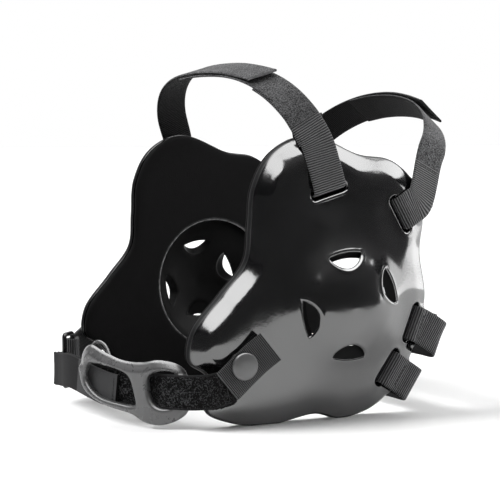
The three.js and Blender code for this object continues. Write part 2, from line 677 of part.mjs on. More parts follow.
/** Right tab: from behind its snap, forward past the cheek, folded round the ring's rear bar. */
function rightTab() {
  const stations = tabStations(RIGHT, RIGHT_TAB);
  const upright = new THREE.Vector3(0, 0, Math.sign(stations[0].across.z));
  const byBar = ({ along, out }) => ({ at: ringPoint(along - RING_BAR, out), across: upright });
  stations.push(byBar(TAB_NEARS), ...barTurn(-RING_BAR, TAB_FOLD, 1, upright), ...TAB_RETURNS.map(byBar));
  return pierced(RIGHT, ribbon(stations, STRAP_WIDTH, TAB_THICKNESS, 2));
}

/** Curve of the chin strap's single run, from under the left tab to the ring's front bar. */
function chinRun() {
  const start = earPoint(LEFT, CHIN_START.u, CHIN_START.v, CHIN_START.w);
  const points = [start, ...CHIN_ROUTE.map(({ x, y, z }) => new THREE.Vector3(x, y, z))];
  points.push(...CHIN_NEARS.map(({ along, out }) => ringPoint(RING_BAR + along, out)));
  return new THREE.CatmullRomCurve3(points, false, 'centripetal');
}

/** Horizontal direction out of the chin strap's loop at a share of its run. */
function chinOutward(run, share) {
  const tangent = run.getTangentAt(share);
  return new THREE.Vector3(-tangent.y, tangent.x, 0).normalize();
}

/** Chin strap: the run, a fold round the ring's front bar and the return layer on the outside. */
function chinStrap() {
  const run = chinRun();
  const upright = new THREE.Vector3(0, 0, 1);
  const length = run.getLength();
  const stations = [];
  for (let step = 0; step < CHIN_RUN_STEPS; step += 1) {
    stations.push({ at: run.getPointAt(step / CHIN_RUN_STEPS), across: upright });
  }
  stations.push(...barTurn(RING_BAR, CHIN_FOLD, -1, upright));
  stations.push({ at: ringPoint(RING_BAR + CHIN_LEAVES.along, CHIN_LEAVES.out), across: upright });
  const spread = CHIN_THICKNESS + LAYER_GAP;
  for (let step = 0; step <= CHIN_RETURN_STEPS; step += 1) {
    const back = THREE.MathUtils.lerp(CHIN_JOIN, CHIN_RETURN, step / CHIN_RETURN_STEPS);
    const share = 1 - back / length;
    const at = run.getPointAt(share).addScaledVector(chinOutward(run, share), spread);
    stations.push({ at, across: upright });
  }
  return ribbon(stations, CHIN_WIDTH, CHIN_THICKNESS, 1);
}

/** How far the cup stands outside the strap at a place along it. */
function cupOffset(s) {
  const last = CUP_OFFSETS.length - 1;
  if (s <= CUP_OFFSETS[0].s) {
    return CUP_OFFSETS[0].out;
  }
  if (s >= CUP_OFFSETS[last].s) {
    return CUP_OFFSETS[last].out;
  }
  const row = CUP_OFFSETS.findIndex((entry) => entry.s > s);
  const from = CUP_OFFSETS[row - 1];
  const to = CUP_OFFSETS[row];
  return THREE.MathUtils.lerp(from.out, to.out, THREE.MathUtils.smoothstep(s, from.s, to.s));
}

/** Chin cup: a flat frame with two windows, bent along the strap and threaded by it. */
function chinCup() {
  const flatPoints = (rows, count) => closedCurve(rows, 's', 'h').getSpacedPoints(count).slice(0, count)
    .map((point) => new THREE.Vector2(point.x, point.y));
  const frame = new THREE.Shape(flatPoints(CUP_OUTLINE, CUP_EDGE_POINTS));
  CUP_WINDOWS.forEach((rows) => frame.holes.push(new THREE.Path(flatPoints(rows, CUP_WINDOW_POINTS))));
  const plate = new THREE.ExtrudeGeometry(frame, { depth: CUP_THICKNESS, bevelEnabled: false });
  const run = chinRun();
  const length = run.getLength();
  const bent = solidOf(plate).refineToLength(CUP_FACET).warp((corner) => {
    const [s, h, depth] = corner;
    const share = CUP_MIDDLE - s / length;
    const out = cupOffset(s) + depth - CUP_THICKNESS / 2;
    const at = run.getPointAt(share).addScaledVector(chinOutward(run, share), out);
    [corner[0], corner[1], corner[2]] = [at.x, at.y, at.z + h];
  });
  return geometryOf(bent);
}

[LEFT, RIGHT].forEach((side) => {
  const hand = side === LEFT ? 'left' : 'right';
  addPiece(`shell_${hand}`, earShell(side), 'shell');
  addPiece(`liner_${hand}`, earLiner(side), 'liner');
  addPiece(`front_crown_strap_${hand}`, crownStrap(side, 'frontCrown'), 'webbing');
  addPiece(`rear_crown_strap_${hand}`, crownStrap(side, 'rearCrown'), 'webbing');
  addPiece(`upper_nape_strap_${hand}`, napeStrap(side, 'upperNape'), 'webbing');
  addPiece(`lower_nape_strap_${hand}`, napeStrap(side, 'lowerNape'), 'webbing');
  addPiece(`chin_snap_${hand}`, chinSnap(side), 'snap');
});
addPiece('chin_tab_left', leftTab(), 'webbing');
addPiece('chin_tab_right', rightTab(), 'webbing');
addPiece('chin_ring', chinRing(), 'moulded');
addPiece('chin_strap', chinStrap(), 'pile');
addPiece('chin_cup', chinCup(), 'moulded');

export default guard;
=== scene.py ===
"""Looks of the head guard: glossy padded ear shells, foam liners, webbing straps and a moulded chin cup.

Sizes are in millimetres until a mesh is made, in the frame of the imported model: +X to the wearer's left,
-Y to the face, +Z up. Each ear shell has a frame of its own: u rearward, v up, w away from the head.
"""

import logging
import math
from dataclasses import dataclass
from enum import Enum, IntEnum
from typing import NamedTuple

import bmesh
import bpy
import numpy as np
from mathutils import Matrix, Vector, noise
from mathutils.geometry import delaunay_2d_cdt


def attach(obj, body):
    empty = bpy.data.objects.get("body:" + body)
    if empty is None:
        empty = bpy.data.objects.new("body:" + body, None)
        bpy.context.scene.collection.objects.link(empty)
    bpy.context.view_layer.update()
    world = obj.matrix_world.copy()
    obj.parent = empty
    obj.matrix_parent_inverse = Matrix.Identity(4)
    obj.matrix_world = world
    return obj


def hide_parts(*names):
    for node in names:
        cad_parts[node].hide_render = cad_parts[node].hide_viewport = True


Array = np.ndarray
Faces = list[tuple[int, ...]]
Material, Piece, Socket = bpy.types.Material, bpy.types.Object, bpy.types.NodeSocket

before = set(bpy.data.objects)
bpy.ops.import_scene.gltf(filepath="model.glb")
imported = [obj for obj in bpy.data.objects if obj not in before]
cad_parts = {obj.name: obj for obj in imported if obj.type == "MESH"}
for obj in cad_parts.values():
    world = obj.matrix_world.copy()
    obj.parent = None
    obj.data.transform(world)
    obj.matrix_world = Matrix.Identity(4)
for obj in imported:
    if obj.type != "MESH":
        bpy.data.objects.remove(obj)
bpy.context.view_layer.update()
MM = 0.001
CHUNK = 4000
UP = np.array([0.0, 0.0, 1.0])
PAD_LOW, PAD_HIGH = (-90.0, -66.0), (58.0, 92.0)
LOG = logging.getLogger("head_guard")


class Side(Enum):
    """Ear that a piece belongs to: the wearer's left or right."""

    LEFT = 1
    RIGHT = -1

    @property
    def word(self) -> str:
        """Side as the end of a piece's name."""
        return self.name.lower()


class StrapKind(Enum):
    """Straps that run through a slot of each shell."""

    FRONT_CROWN = "front_crown_strap"
    REAR_CROWN = "rear_crown_strap"
    UPPER_NAPE = "upper_nape_strap"
    LOWER_NAPE = "lower_nape_strap"


class Cloth(IntEnum):
    """Finish numbers of a strap: weave, napped face, thread, and webbing darkened as painted shade (chin strap:
    tape).
    """

    WEAVE = 0
    NAP = 1
    THREAD = 2
    TRIM = 3


class Slot(NamedTuple):
    """Strap slot in a shell: its place, the strap's heading, and the heights of the strap's runs."""

    u: float
    v: float
    heading: float
    run: float
    fall: float
    sewn: float
    tuck: float


class CrownArc(NamedTuple):
    """Arc of a crown strap over the head."""

    middle: float
    half_span: float
    base: float
    rise: float
    power: float
    base_u: float
    lean: float
    twist: float
    start_angle: float
    left_end: float
    right_end: float
    right_bow: float
    nap: float


class NapeRun(NamedTuple):
    """Run of a nape strap behind the head."""

    straight: float
    drop: float
    overlap: float


SLOTS: dict[StrapKind, Slot] = {
    StrapKind.FRONT_CROWN: Slot(-10.4, 60.3, 106, 13.4, 2.6, 9, 8),
    StrapKind.REAR_CROWN: Slot(34.5, 47, 31, 12.2, 1.6, 4, 6.6),
    StrapKind.UPPER_NAPE: Slot(43, -12, -22, 13, 1, 5, 3.6),
    StrapKind.LOWER_NAPE: Slot(27.8, -35.2, -33, 13, 1, 3, 3.6),
}
CROWN_ARCS: dict[StrapKind, CrownArc] = {
    StrapKind.FRONT_CROWN: CrownArc(2, 79, 72, 52, 2.6, -12.6, 25, 16, 26, 104, 121, 0, 13),
    StrapKind.REAR_CROWN: CrownArc(1, 75, 68, 38.5, 2.1, 49.5, -40, -40, 12, 112, 124, 9, 20),
}
NAPE_RUNS: dict[StrapKind, NapeRun] = {
    StrapKind.UPPER_NAPE: NapeRun(12.5, 4, 24),
    StrapKind.LOWER_NAPE: NapeRun(9, 0, 24),
}


def smoothstep(low: float, high: float, value: Array | float) -> Array:
    """Smooth rise from 0 at low to 1 at high.

    Args:
        low: value where the rise starts.
        high: value where it ends.
        value: values to ease.

    Returns:
        Eased shares from 0 to 1.
    """
    share = np.clip((np.asarray(value, float) - low) / (high - low), 0.0, 1.0)
    return share * share * (3.0 - 2.0 * share)


def smooth_table(value: Array, places: list[float], heights: list[float]) -> Array:
    """Reads a short table smoothly, without overshoot.

    Args:
        value: places to read.
        places: rising places of the table.
        heights: value at each place.

    Returns:
        Heights at the asked places, held level past both ends.
    """
    xs, ys = np.array(places, float), np.array(heights, float)
    widths = np.diff(xs)
    secants = np.diff(ys) / widths
    slopes = np.zeros_like(ys)
    same = secants[:-1] * secants[1:] > 0
    total = np.where(same, secants[:-1] + secants[1:], 1.0)
    slopes[1:-1] = np.where(same, 2.0 * secants[:-1] * secants[1:] / total, 0.0)
    slopes[0], slopes[-1] = secants[0], secants[-1]
    x = np.clip(np.asarray(value, float), xs[0], xs[-1])
    row = np.clip(np.searchsorted(xs, x, side="right") - 1, 0, len(xs) - 2)
    t = (x - xs[row]) / widths[row]
    rise = slopes[row] * widths[row]
    fall = slopes[row + 1] * widths[row]
    return (
        ys[row] * (1 + 2 * t) * (1 - t) ** 2
        + rise * t * (1 - t) ** 2
        + ys[row + 1] * t * t * (3 - 2 * t)
        + fall * t * t * (t - 1)
    )


def unit(vectors: Array) -> Array:
    """Vectors scaled to length one."""
    return vectors / np.linalg.norm(vectors, axis=-1, keepdims=True)


def edge_drop(distance: Array, radius: float) -> Array:
    """Drop of a rounded edge.

    Args:
        distance: distance from the edge.
        radius: radius of the rounding.

    Returns:
        Drop at each distance.
    """
    rest = np.clip(radius - distance, 0.0, radius)
    return radius - np.sqrt(radius ** 2 - rest ** 2)


def edge_distance(points: Array, loop: Array) -> Array:
    """Distance from points to the nearest side of a closed loop.

    Args:
        points: flat points, one per row.
        loop: corners of the loop in order.

    Returns:
        Distance of each point.
    """
    starts, sides = loop, np.roll(loop, -1, axis=0) - loop
    spans = np.sum(sides * sides, axis=1)
    result = np.empty(len(points))
    for first in range(0, len(points), CHUNK):
        part = points[first:first + CHUNK]
        offset = part[:, None, :] - starts[None]
        share = np.clip(np.sum(offset * sides[None], axis=2) / spans[None], 0.0, 1.0)
        gap = offset - share[..., None] * sides[None]
        result[first:first + CHUNK] = np.sqrt(np.min(np.sum(gap * gap, axis=2), axis=1))
    return result


def inside_loop(points: Array, loop: Array) -> Array:
    """Tells which flat points lie inside a closed loop.

    Args:
        points: flat points, one per row.
        loop: corners of the loop in order.

    Returns:
        True for each point inside.
    """
    ends = np.roll(loop, -1, axis=0)
    result = np.zeros(len(points), bool)
    for first in range(0, len(points), CHUNK):
        part = points[first:first + CHUNK]
        above = (loop[None, :, 1] > part[:, None, 1]) != (ends[None, :, 1] > part[:, None, 1])
        height = np.where(ends[:, 1] == loop[:, 1], 1.0, ends[:, 1] - loop[:, 1])
        cross = loop[:, 0] + (part[:, None, 1] - loop[:, 1]) * (ends[:, 0] - loop[:, 0]) / height
        result[first:first + CHUNK] = np.sum(above & (part[:, None, 0] < cross), axis=1) % 2 == 1
    return result


class Spline:
    """Smooth curve through points, open or closed, whose bends follow the spacing of the points."""

    SAMPLES = 60

    def __init__(self, points: Array, closed: bool = False) -> None:
        """Keeps the points and measures the curve.

        Args:
            points: points of the curve, one per row.
            closed: True if the last point leads back to the first.
        """
        self.points = np.asarray(points, float)
        self.closed = closed
        self.spans = len(self.points) if closed else len(self.points) - 1
        self.shares = np.linspace(0.0, 1.0, self.SAMPLES * self.spans + 1)
        steps = np.linalg.norm(np.diff(self.at(self.shares), axis=0), axis=1)
        self.lengths = np.concatenate(([0.0], np.cumsum(steps)))

    @property
    def length(self) -> float:
        """Length of the whole curve."""
        return float(self.lengths[-1])

    def at(self, shares: Array) -> Array:
        """Points at shares of the number of spans.

        Args:
            shares: shares from 0 to 1.

        Returns:
            One point per share.
        """
        place = np.clip(np.atleast_1d(shares), 0.0, 1.0) * self.spans
        first = np.clip(np.floor(place).astype(int), 0, self.spans - 1)
        t = (place - first)[:, None]
        points, count = self.points, len(self.points)
        if self.closed:
            p0, p1, p2, p3 = (points[(first + step) % count] for step in (-1, 0, 1, 2))
        else:
            longer = np.vstack([2 * points[0] - points[1], points, 2 * points[-1] - points[-2]])
            p0, p1, p2, p3 = (longer[first + step] for step in (0, 1, 2, 3))
        gaps = [np.sum((b - a) ** 2, axis=1, keepdims=True) ** 0.25 for a, b in ((p0, p1), (p1, p2), (p2, p3))]
        d1 = np.where(gaps[1] < 1e-4, 1.0, gaps[1])
        d0 = np.where(gaps[0] < 1e-4, d1, gaps[0])
        d2 = np.where(gaps[2] < 1e-4, d1, gaps[2])
        m1 = d1 * ((p1 - p0) / d0 - (p2 - p0) / (d0 + d1) + (p2 - p1) / d1)
        m2 = d1 * ((p2 - p1) / d1 - (p3 - p1) / (d1 + d2) + (p3 - p2) / d2)
        return (
            p1 + m1 * t + (-3 * p1 + 3 * p2 - 2 * m1 - m2) * t ** 2 + (2 * p1 - 2 * p2 + m1 + m2) * t ** 3
        )

    def tangent(self, shares: Array) -> Array:
        """Directions along the curve at shares of its spans."""
        shares = np.atleast_1d(shares)
        return unit(self.at(np.minimum(shares + 1e-4, 1.0)) - self.at(np.maximum(shares - 1e-4, 0.0)))

    def share_at(self, part: Array) -> Array:
        """Shares of the spans at parts of the curve's length."""
        return np.interp(np.asarray(part, float) * self.length, self.lengths, self.shares)


def even_loop(rows: tuple, count: int) -> Array:
    """Evenly spaced points of the closed curve through table rows."""
    curve = Spline(np.array(rows, float), closed=True)
    return curve.at(curve.share_at(np.arange(count) / count))


class EarFrame:
    """Place of one ear shell: its centre, and its u, v and w directions in the guard."""

    X, Y, HEIGHT = 65.7, 15.4, 61.6
    YAW, LEAN = math.radians(2.85), math.radians(1.5)

    def __init__(self, side: Side) -> None:
        """Finds the directions for one side.

        Args:
            side: ear of the shell.
        """
        outward = np.array([math.cos(self.YAW), -math.sin(self.YAW), 0.0])
        rear = np.array([math.sin(self.YAW), math.cos(self.YAW), 0.0])
        v = UP * math.cos(self.LEAN) + outward * math.sin(self.LEAN)
        w = outward * math.cos(self.LEAN) - UP * math.sin(self.LEAN)
        self.axes = np.array([rear, v, w]) * np.array([side.value, 1.0, 1.0])
        self.centre = np.array([side.value * self.X, self.Y, self.HEIGHT])

    def points(self, local: Array) -> Array:
        """Points in the guard of points in the shell's frame."""
        return self.centre + np.asarray(local, float) @ self.axes

    def vector(self, u: float, v: float, w: float) -> Array:
        """Direction in the guard of a direction in the shell's frame."""
        return np.array([u, v, w]) @ self.axes

    def stand(self, u: float, v: float, w: float) -> Matrix:
        """Placement of a round part whose axis stands up from the shell.

        Args:
            u: place rearward.
            v: place up.
            w: height over the shell's plane.

        Returns:
            Placement in metres.
        """
        facing = Vector(self.axes[2]).to_track_quat("Z", "Y").to_matrix().to_4x4()
        return Matrix.Translation(Vector(self.points(np.array([u, v, w])) * MM)) @ facing


def strap_axes(slot: Slot) -> tuple[Array, Array]:
    """Flat directions of a strap at its slot.

    Args:
        slot: the strap's slot.

    Returns:
        Direction along the strap, and direction across it.
    """
    angle = math.radians(slot.heading)
    along = np.array([math.cos(angle), math.sin(angle)])
    return along, np.array([math.sin(angle), -math.cos(angle)])


class PadForm:
    """Lobed form that a shell and its liner share: the edge, and heights over the head side."""

    OUTLINE = (
        (-20, 89), (-41.5, 79.8), (-52, 62), (-54, 42), (-56, 24.5), (-70, 7.5), (-85.5, -11), (-87, -26),
        (-78, -32.6), (-70.5, -41.5), (-77, -52), (-60, -60.2), (-38, -62), (-13, -58.5), (2, -62), (23, -57),
        (39, -43), (48, -26), (54.5, 0), (50.5, 26), (52, 47), (45, 64.5), (31, 75.5), (12, 78.5),
    )
    EDGE_POINTS = 440
    FACE = 2.8
    RIM_RADIUS = 38.4
    PLATEAU = (
        [0.0, 0.5, 1.0, 1.41, 2.0, 2.45, 2.83, 3.16, 3.6, 4.47, 5.5, 6.5],
        [3.8, 5.4, 6.4, 7.05, 8.2, 9.35, 10.45, 11.4, 12.2, 12.6, 12.7, 12.75],
    )
    DOME = ([0, 11, 21, 29, 37, 45, 55], [11.6, 10.8, 8.3, 4.8, 2.1, 0.7, 0.0])
    BOWL = ([0, 16, 29, 36.2, 38.4], [20.0, 18.0, 12.8, 7.0, 2.8])
    EDGE_BLEND = (7.0, 14.0)
    TUNNEL_LIFT = 2.5
    TUNNEL_START = (-3.6, -1.9)
    TUNNEL_SIDE = (10.2, 12.6)
    TUNNEL_PAST = 6.0
    RAMP_TOP = 9.0
    SNAP_DIMPLE = (-60.5, -28.2, 8.5, 1.7)
    SLOT_DIP = (1.2, 6.0, 20.0)
    SOFT_LOW, SOFT_HIGH = (-98.0, -72.0), (68.0, 102.0)
    SOFT_REACH, SOFT_WIDTH = 9, 2.8

    def __init__(self) -> None:
        """Lays out the edge and the softened plateau."""
        self.edge = even_loop(self.OUTLINE, self.EDGE_POINTS)
        along = unit(np.roll(self.edge, -1, axis=0) - np.roll(self.edge, 1, axis=0))
        inward = np.stack([-along[:, 1], along[:, 0]], axis=1)
        self.inward = unit(sum(np.roll(inward, step, axis=0) for step in range(-4, 5)))
        self.reach = {kind: self._reach(slot) for kind, slot in SLOTS.items()}
        self.soft = self._soft_plateau()

    def inset(self, amount: float) -> Array:
        """Edge moved inward by an amount."""
        return self.edge + self.inward * amount

    def depth(self, flat: Array) -> Array:
        """Distance in from the edge, negative outside it."""
        return edge_distance(flat, self.edge) * np.where(inside_loop(flat, self.edge), 1.0, -1.0)

    def outer(self, flat: Array) -> Array:
        """Heights of the outer skin.

        Args:
            flat: points in the shell's plane.

        Returns:
            Height of the skin over each point.
        """
        depth = self.depth(flat)
        edge = smooth_table(np.sqrt(np.maximum(depth, 0.0)), *self.PLATEAU)
        blend = smoothstep(*self.EDGE_BLEND, depth)
        plateau = edge * (1 - blend) + self._sample(flat) * blend
        height = plateau + smooth_table(np.hypot(flat[:, 0], flat[:, 1]), *self.DOME)
        u, v, radius, sink = self.SNAP_DIMPLE
        height -= sink * (1 - smoothstep(0.45, 1.0, np.hypot(flat[:, 0] - u, flat[:, 1] - v) / radius))
        dip, near, far = self.SLOT_DIP
        for slot in SLOTS.values():
            gap = np.hypot(flat[:, 0] - slot.u, flat[:, 1] - slot.v)
            height -= dip * (1 - smoothstep(near, far, gap))
        ramp = np.clip((self.RAMP_TOP - height) / (self.RAMP_TOP - self.FACE), 0.0, 1.0)
        return height + self.TUNNEL_LIFT * self.tunnel(flat) * ramp

    def inner(self, flat: Array) -> Array:
        """Heights of the head side: its flat face and the ear bowl.

        Args:
            flat: points in the shell's plane.

        Returns:
            Height of the head side over each point.
        """
        radius = np.hypot(flat[:, 0], flat[:, 1])
        bowl = smooth_table(radius, *self.BOWL)
        return np.where(radius < self.RIM_RADIUS, bowl, self.FACE + self.TUNNEL_LIFT * self.tunnel(flat))

    def tunnel(self, flat: Array) -> Array:
        """Share of lift over the straps that run between shell and liner.

        Args:
            flat: points in the shell's plane.

        Returns:
            Share from 0 to 1 at each point.
        """
        lift = np.zeros(len(flat))
        for kind, slot in SLOTS.items():
            along, across = strap_axes(slot)
            offset = flat - np.array([slot.u, slot.v])
            t, a = offset @ along, np.abs(offset @ across)
            near = smoothstep(*self.TUNNEL_START, t) * (t < self.reach[kind] + self.TUNNEL_PAST)
            lift = np.maximum(lift, near * (1 - smoothstep(*self.TUNNEL_SIDE, a)))
        return lift

    def _reach(self, slot: Slot) -> float:
        """Distance from a slot to the edge along its strap.

        Args:
            slot: the strap's slot.

        Returns:
            Distance to the nearest quarter of a millimetre.
        """
        along, _ = strap_axes(slot)
        steps = np.arange(0.25, 60, 0.25)
        line = np.array([slot.u, slot.v]) + steps[:, None] * along
        return float(steps[np.argmin(inside_loop(line, self.edge))])

    def _soft_plateau(self) -> Array:
        """Heights of the plateau on a one millimetre grid, with the ridges of its lobes softened.

        Returns:
            Heights by rows of the grid.
        """
        lines = [np.arange(low, high) for low, high in zip(self.SOFT_LOW, self.SOFT_HIGH)]
        grid = np.stack(np.meshgrid(*lines, indexing="ij"), axis=2)
        depth = self.depth(grid.reshape(-1, 2)).reshape(grid.shape[:2])
        mask = (depth > 0).astype(float)
        height = smooth_table(np.sqrt(np.maximum(depth, 0.0)), *self.PLATEAU) * mask
        kernel = np.exp(-0.5 * (np.arange(-self.SOFT_REACH, self.SOFT_REACH + 1) / self.SOFT_WIDTH) ** 2)
        for axis in (0, 1):
            height = np.apply_along_axis(np.convolve, axis, height, kernel, "same")
            mask = np.apply_along_axis(np.convolve, axis, mask, kernel, "same")
        return height / np.maximum(mask, 1e-9)

    def _sample(self, flat: Array) -> Array:
        """Softened plateau read between the points of its grid.

        Args:
            flat: points in the shell's plane.

        Returns:
            Height at each point.
        """
        place = flat - np.array(self.SOFT_LOW)
        cell = np.clip(np.floor(place).astype(int), 1, np.array(self.soft.shape) - 3)
        t = place - cell

        def weights(share: Array) -> Array:
            """Weights of four neighbours along one direction.

            Args:
                share: place between the middle two.

            Returns:
                Four weights for each place.
            """
            return np.stack([
                ((-0.5 * share + 1.0) * share - 0.5) * share,
                (1.5 * share - 2.5) * share * share + 1.0,
                ((-1.5 * share + 2.0) * share + 0.5) * share,
                (0.5 * share - 0.5) * share * share,
            ], axis=1)

        wu, wv = weights(t[:, 0]), weights(t[:, 1])
        result = np.zeros(len(flat))
        for i in range(4):
            for j in range(4):
                result += wu[:, i] * wv[:, j] * self.soft[cell[:, 0] + i - 1, cell[:, 1] + j - 1]
        return result


class Patch:
    """Surface over a plane, from closed loops and loose points that triangles join."""

    def __init__(self) -> None:
        """Starts an empty patch."""
        self.parts: list[Array] = []
        self.loops: list[Array] = []
        self.count = 0

    def add(self, points: Array, closed: bool) -> Array:
        """Adds points, as a closed loop or loose.

        Args:
            points: points with their heights, one per row.
            closed: True for a loop whose sides the triangles keep.

        Returns:
            Numbers of the added points.
        """
        numbers = np.arange(self.count, self.count + len(points))
        self.parts.append(points)
        self.count += len(points)
        if closed:
            self.loops.append(numbers)
        return numbers

    @property
    def points(self) -> Array:
        """All points of the patch."""
        return np.vstack(self.parts)

    def triangles(self, boundary: Array, holes: list[Array]) -> Array:
        """Joins the points by triangles.

        Args:
            boundary: outer loop of the patch.
            holes: loops that stay open.

        Returns:
            Corner numbers of each triangle, counter-clockwise.
        """
        points = self.points
        sides = [(int(a), int(b)) for loop in self.loops for a, b in zip(loop, np.roll(loop, -1))]
        made = delaunay_2d_cdt([Vector(point[:2]) for point in points], sides, [], 0, 1e-6)
        source = np.array([numbers[0] for numbers in made[3]])
        corners = source[np.array(made[2])]
        flat = points[:, :2]
        middle = flat[corners].mean(axis=1)
        keep = inside_loop(middle, boundary)
        for hole in holes:
            keep &= ~inside_loop(middle, hole)
        corners = corners[keep]
        a, b, c = (flat[corners[:, k]] for k in range(3))
        turned = (b[:, 0] - a[:, 0]) * (c[:, 1] - a[:, 1]) - (b[:, 1] - a[:, 1]) * (c[:, 0] - a[:, 0]) < 0
        corners[turned] = corners[turned][:, ::-1]
        return corners


def spread_grid(low: tuple, high: tuple, step: float) -> Array:
    """Staggered points that fill a rectangle.

    Args:
        low: lowest corner.
        high: highest corner.
        step: spacing of the points.

    Returns:
        Flat points, one per row.
    """
    line = np.arange(low[0], high[0], step)
    rows = np.arange(low[1], high[1], step * math.sqrt(3) / 2)
    return np.vstack([
        np.column_stack([line + step / 2 * (number % 2), np.full(len(line), row)])
        for number, row in enumerate(rows)
    ])


def loop_offset(loop: Array, amount: float) -> Array:
    """Closed counter-clockwise loop moved outward by an amount."""
    along = unit(np.roll(loop, -1, axis=0) - np.roll(loop, 1, axis=0))
    return loop + np.stack([along[:, 1], -along[:, 0]], axis=1) * amount


def bridge(loops: list[Array]) -> Faces:
    """Four-cornered faces from each loop to the next.

    Args:
        loops: point numbers of the loops, all of one count.

    Returns:
        Corner numbers of each face.
    """
    return [
        (int(a), int(b), int(c), int(d))
        for first, second in zip(loops, loops[1:])
        for a, b, c, d in zip(first, np.roll(first, -1), np.roll(second, -1), second)
    ]


def tube(rings: int, sides: int) -> Faces:
    """Faces of a tube of point rings, with a lid on both ends."""
    numbers = np.arange(rings * sides).reshape(rings, sides)
    return bridge(numbers) + [tuple(numbers[0]), tuple(numbers[-1])]


class MeshParts:
    """Points, faces and finish numbers of a piece while it is put together."""

    def __init__(self) -> None:
        """Starts an empty piece."""
        self.points: list[Array] = []
        self.faces: Faces = []
        self.finishes: list[int] = []
        self.maps: list[Array] = []
        self.count = 0

    def add(
        self, points: Array, faces: Faces, finish: int | list[int],
        layout: Array | None = None,
    ) -> int:
        """Adds points and faces.

        Args:
            points: points in millimetres, one per row.
            faces: corner numbers, counted from the first added point.
            finish: finish number of the faces, or one for each.
            layout: flat place of each point on its cloth, in metres.

        Returns:
            Number of the first added point.
        """
        start = self.count
        self.points.append(points)
        self.faces += [tuple(int(corner) + start for corner in face) for face in faces]
        self.finishes += [finish] * len(faces) if isinstance(finish, int) else list(finish)
        self.maps.append(np.zeros((len(points), 2)) if layout is None else layout)
        self.count += len(points)
        return start

    def build(self, name: str, finishes: list[Material], angle: float = 45.0) -> Piece:
        """Makes the mesh object, closed and facing outward, with smooth shading.

        Args:
            name: name of the piece.
            finishes: materials in the order of the finish numbers.
            angle: edges sharper than this stay sharp, in degrees.

        Returns:
            The new object at the origin.
        """
        mesh = bpy.data.meshes.new(name)
        mesh.from_pydata((np.vstack(self.points) * MM).tolist(), [], self.faces)
        for finish in finishes:
            mesh.materials.append(finish)
        mesh.polygons.foreach_set("material_index", self.finishes)
        layout = np.vstack(self.maps)
        corners = np.empty(len(mesh.loops), int)
        mesh.loops.foreach_get("vertex_index", corners)
        mesh.uv_layers.new(name="cloth").data.foreach_set("uv", layout[corners].ravel())
        work = bmesh.new()
        work.from_mesh(mesh)
        bmesh.ops.recalc_face_normals(work, faces=work.faces)
        work.to_mesh(mesh)
        work.free()
        piece = bpy.data.objects.new(name, mesh)
        bpy.context.scene.collection.objects.link(piece)
        only(piece)
        bpy.ops.object.shade_smooth_by_angle(angle=math.radians(angle))
        return piece


def only(piece: Piece) -> None:
    """Selects one object alone and makes it the active one.

    Args:
        piece: object to select.
    """
    bpy.ops.object.select_all(action="DESELECT")
    piece.select_set(True)
    bpy.context.view_layer.objects.active = piece


class NodeTree:
    """Lays out the nodes of a material or of the surroundings."""

    def __init__(self, owner: Material | bpy.types.World) -> None:
        """Takes the nodes of their owner."""
        owner.use_nodes = True
        self.nodes, self.links = owner.node_tree.nodes, owner.node_tree.links

    def put(self, socket: Socket, value: object) -> None:
        """Sets a socket to a number or links it to another socket.

        Args:
            socket: socket to set.
            value: number, colour or socket.
        """
        if isinstance(value, Socket):
            self.links.new(value, socket)
        else:
            socket.default_value = value

    def add(self, kind: str, inputs: dict[str | int, object], **settings: object) -> bpy.types.Node:
        """Adds one node.

        Args:
            kind: Blender's name of the node type.
            inputs: values or sockets by input name or number.
            settings: further properties of the node.

        Returns:
            The new node.
        """
        node = self.nodes.new(kind)
        for key, value in settings.items():
            setattr(node, key, value)
        for key, value in inputs.items():
            self.put(node.inputs[key], value)
        return node


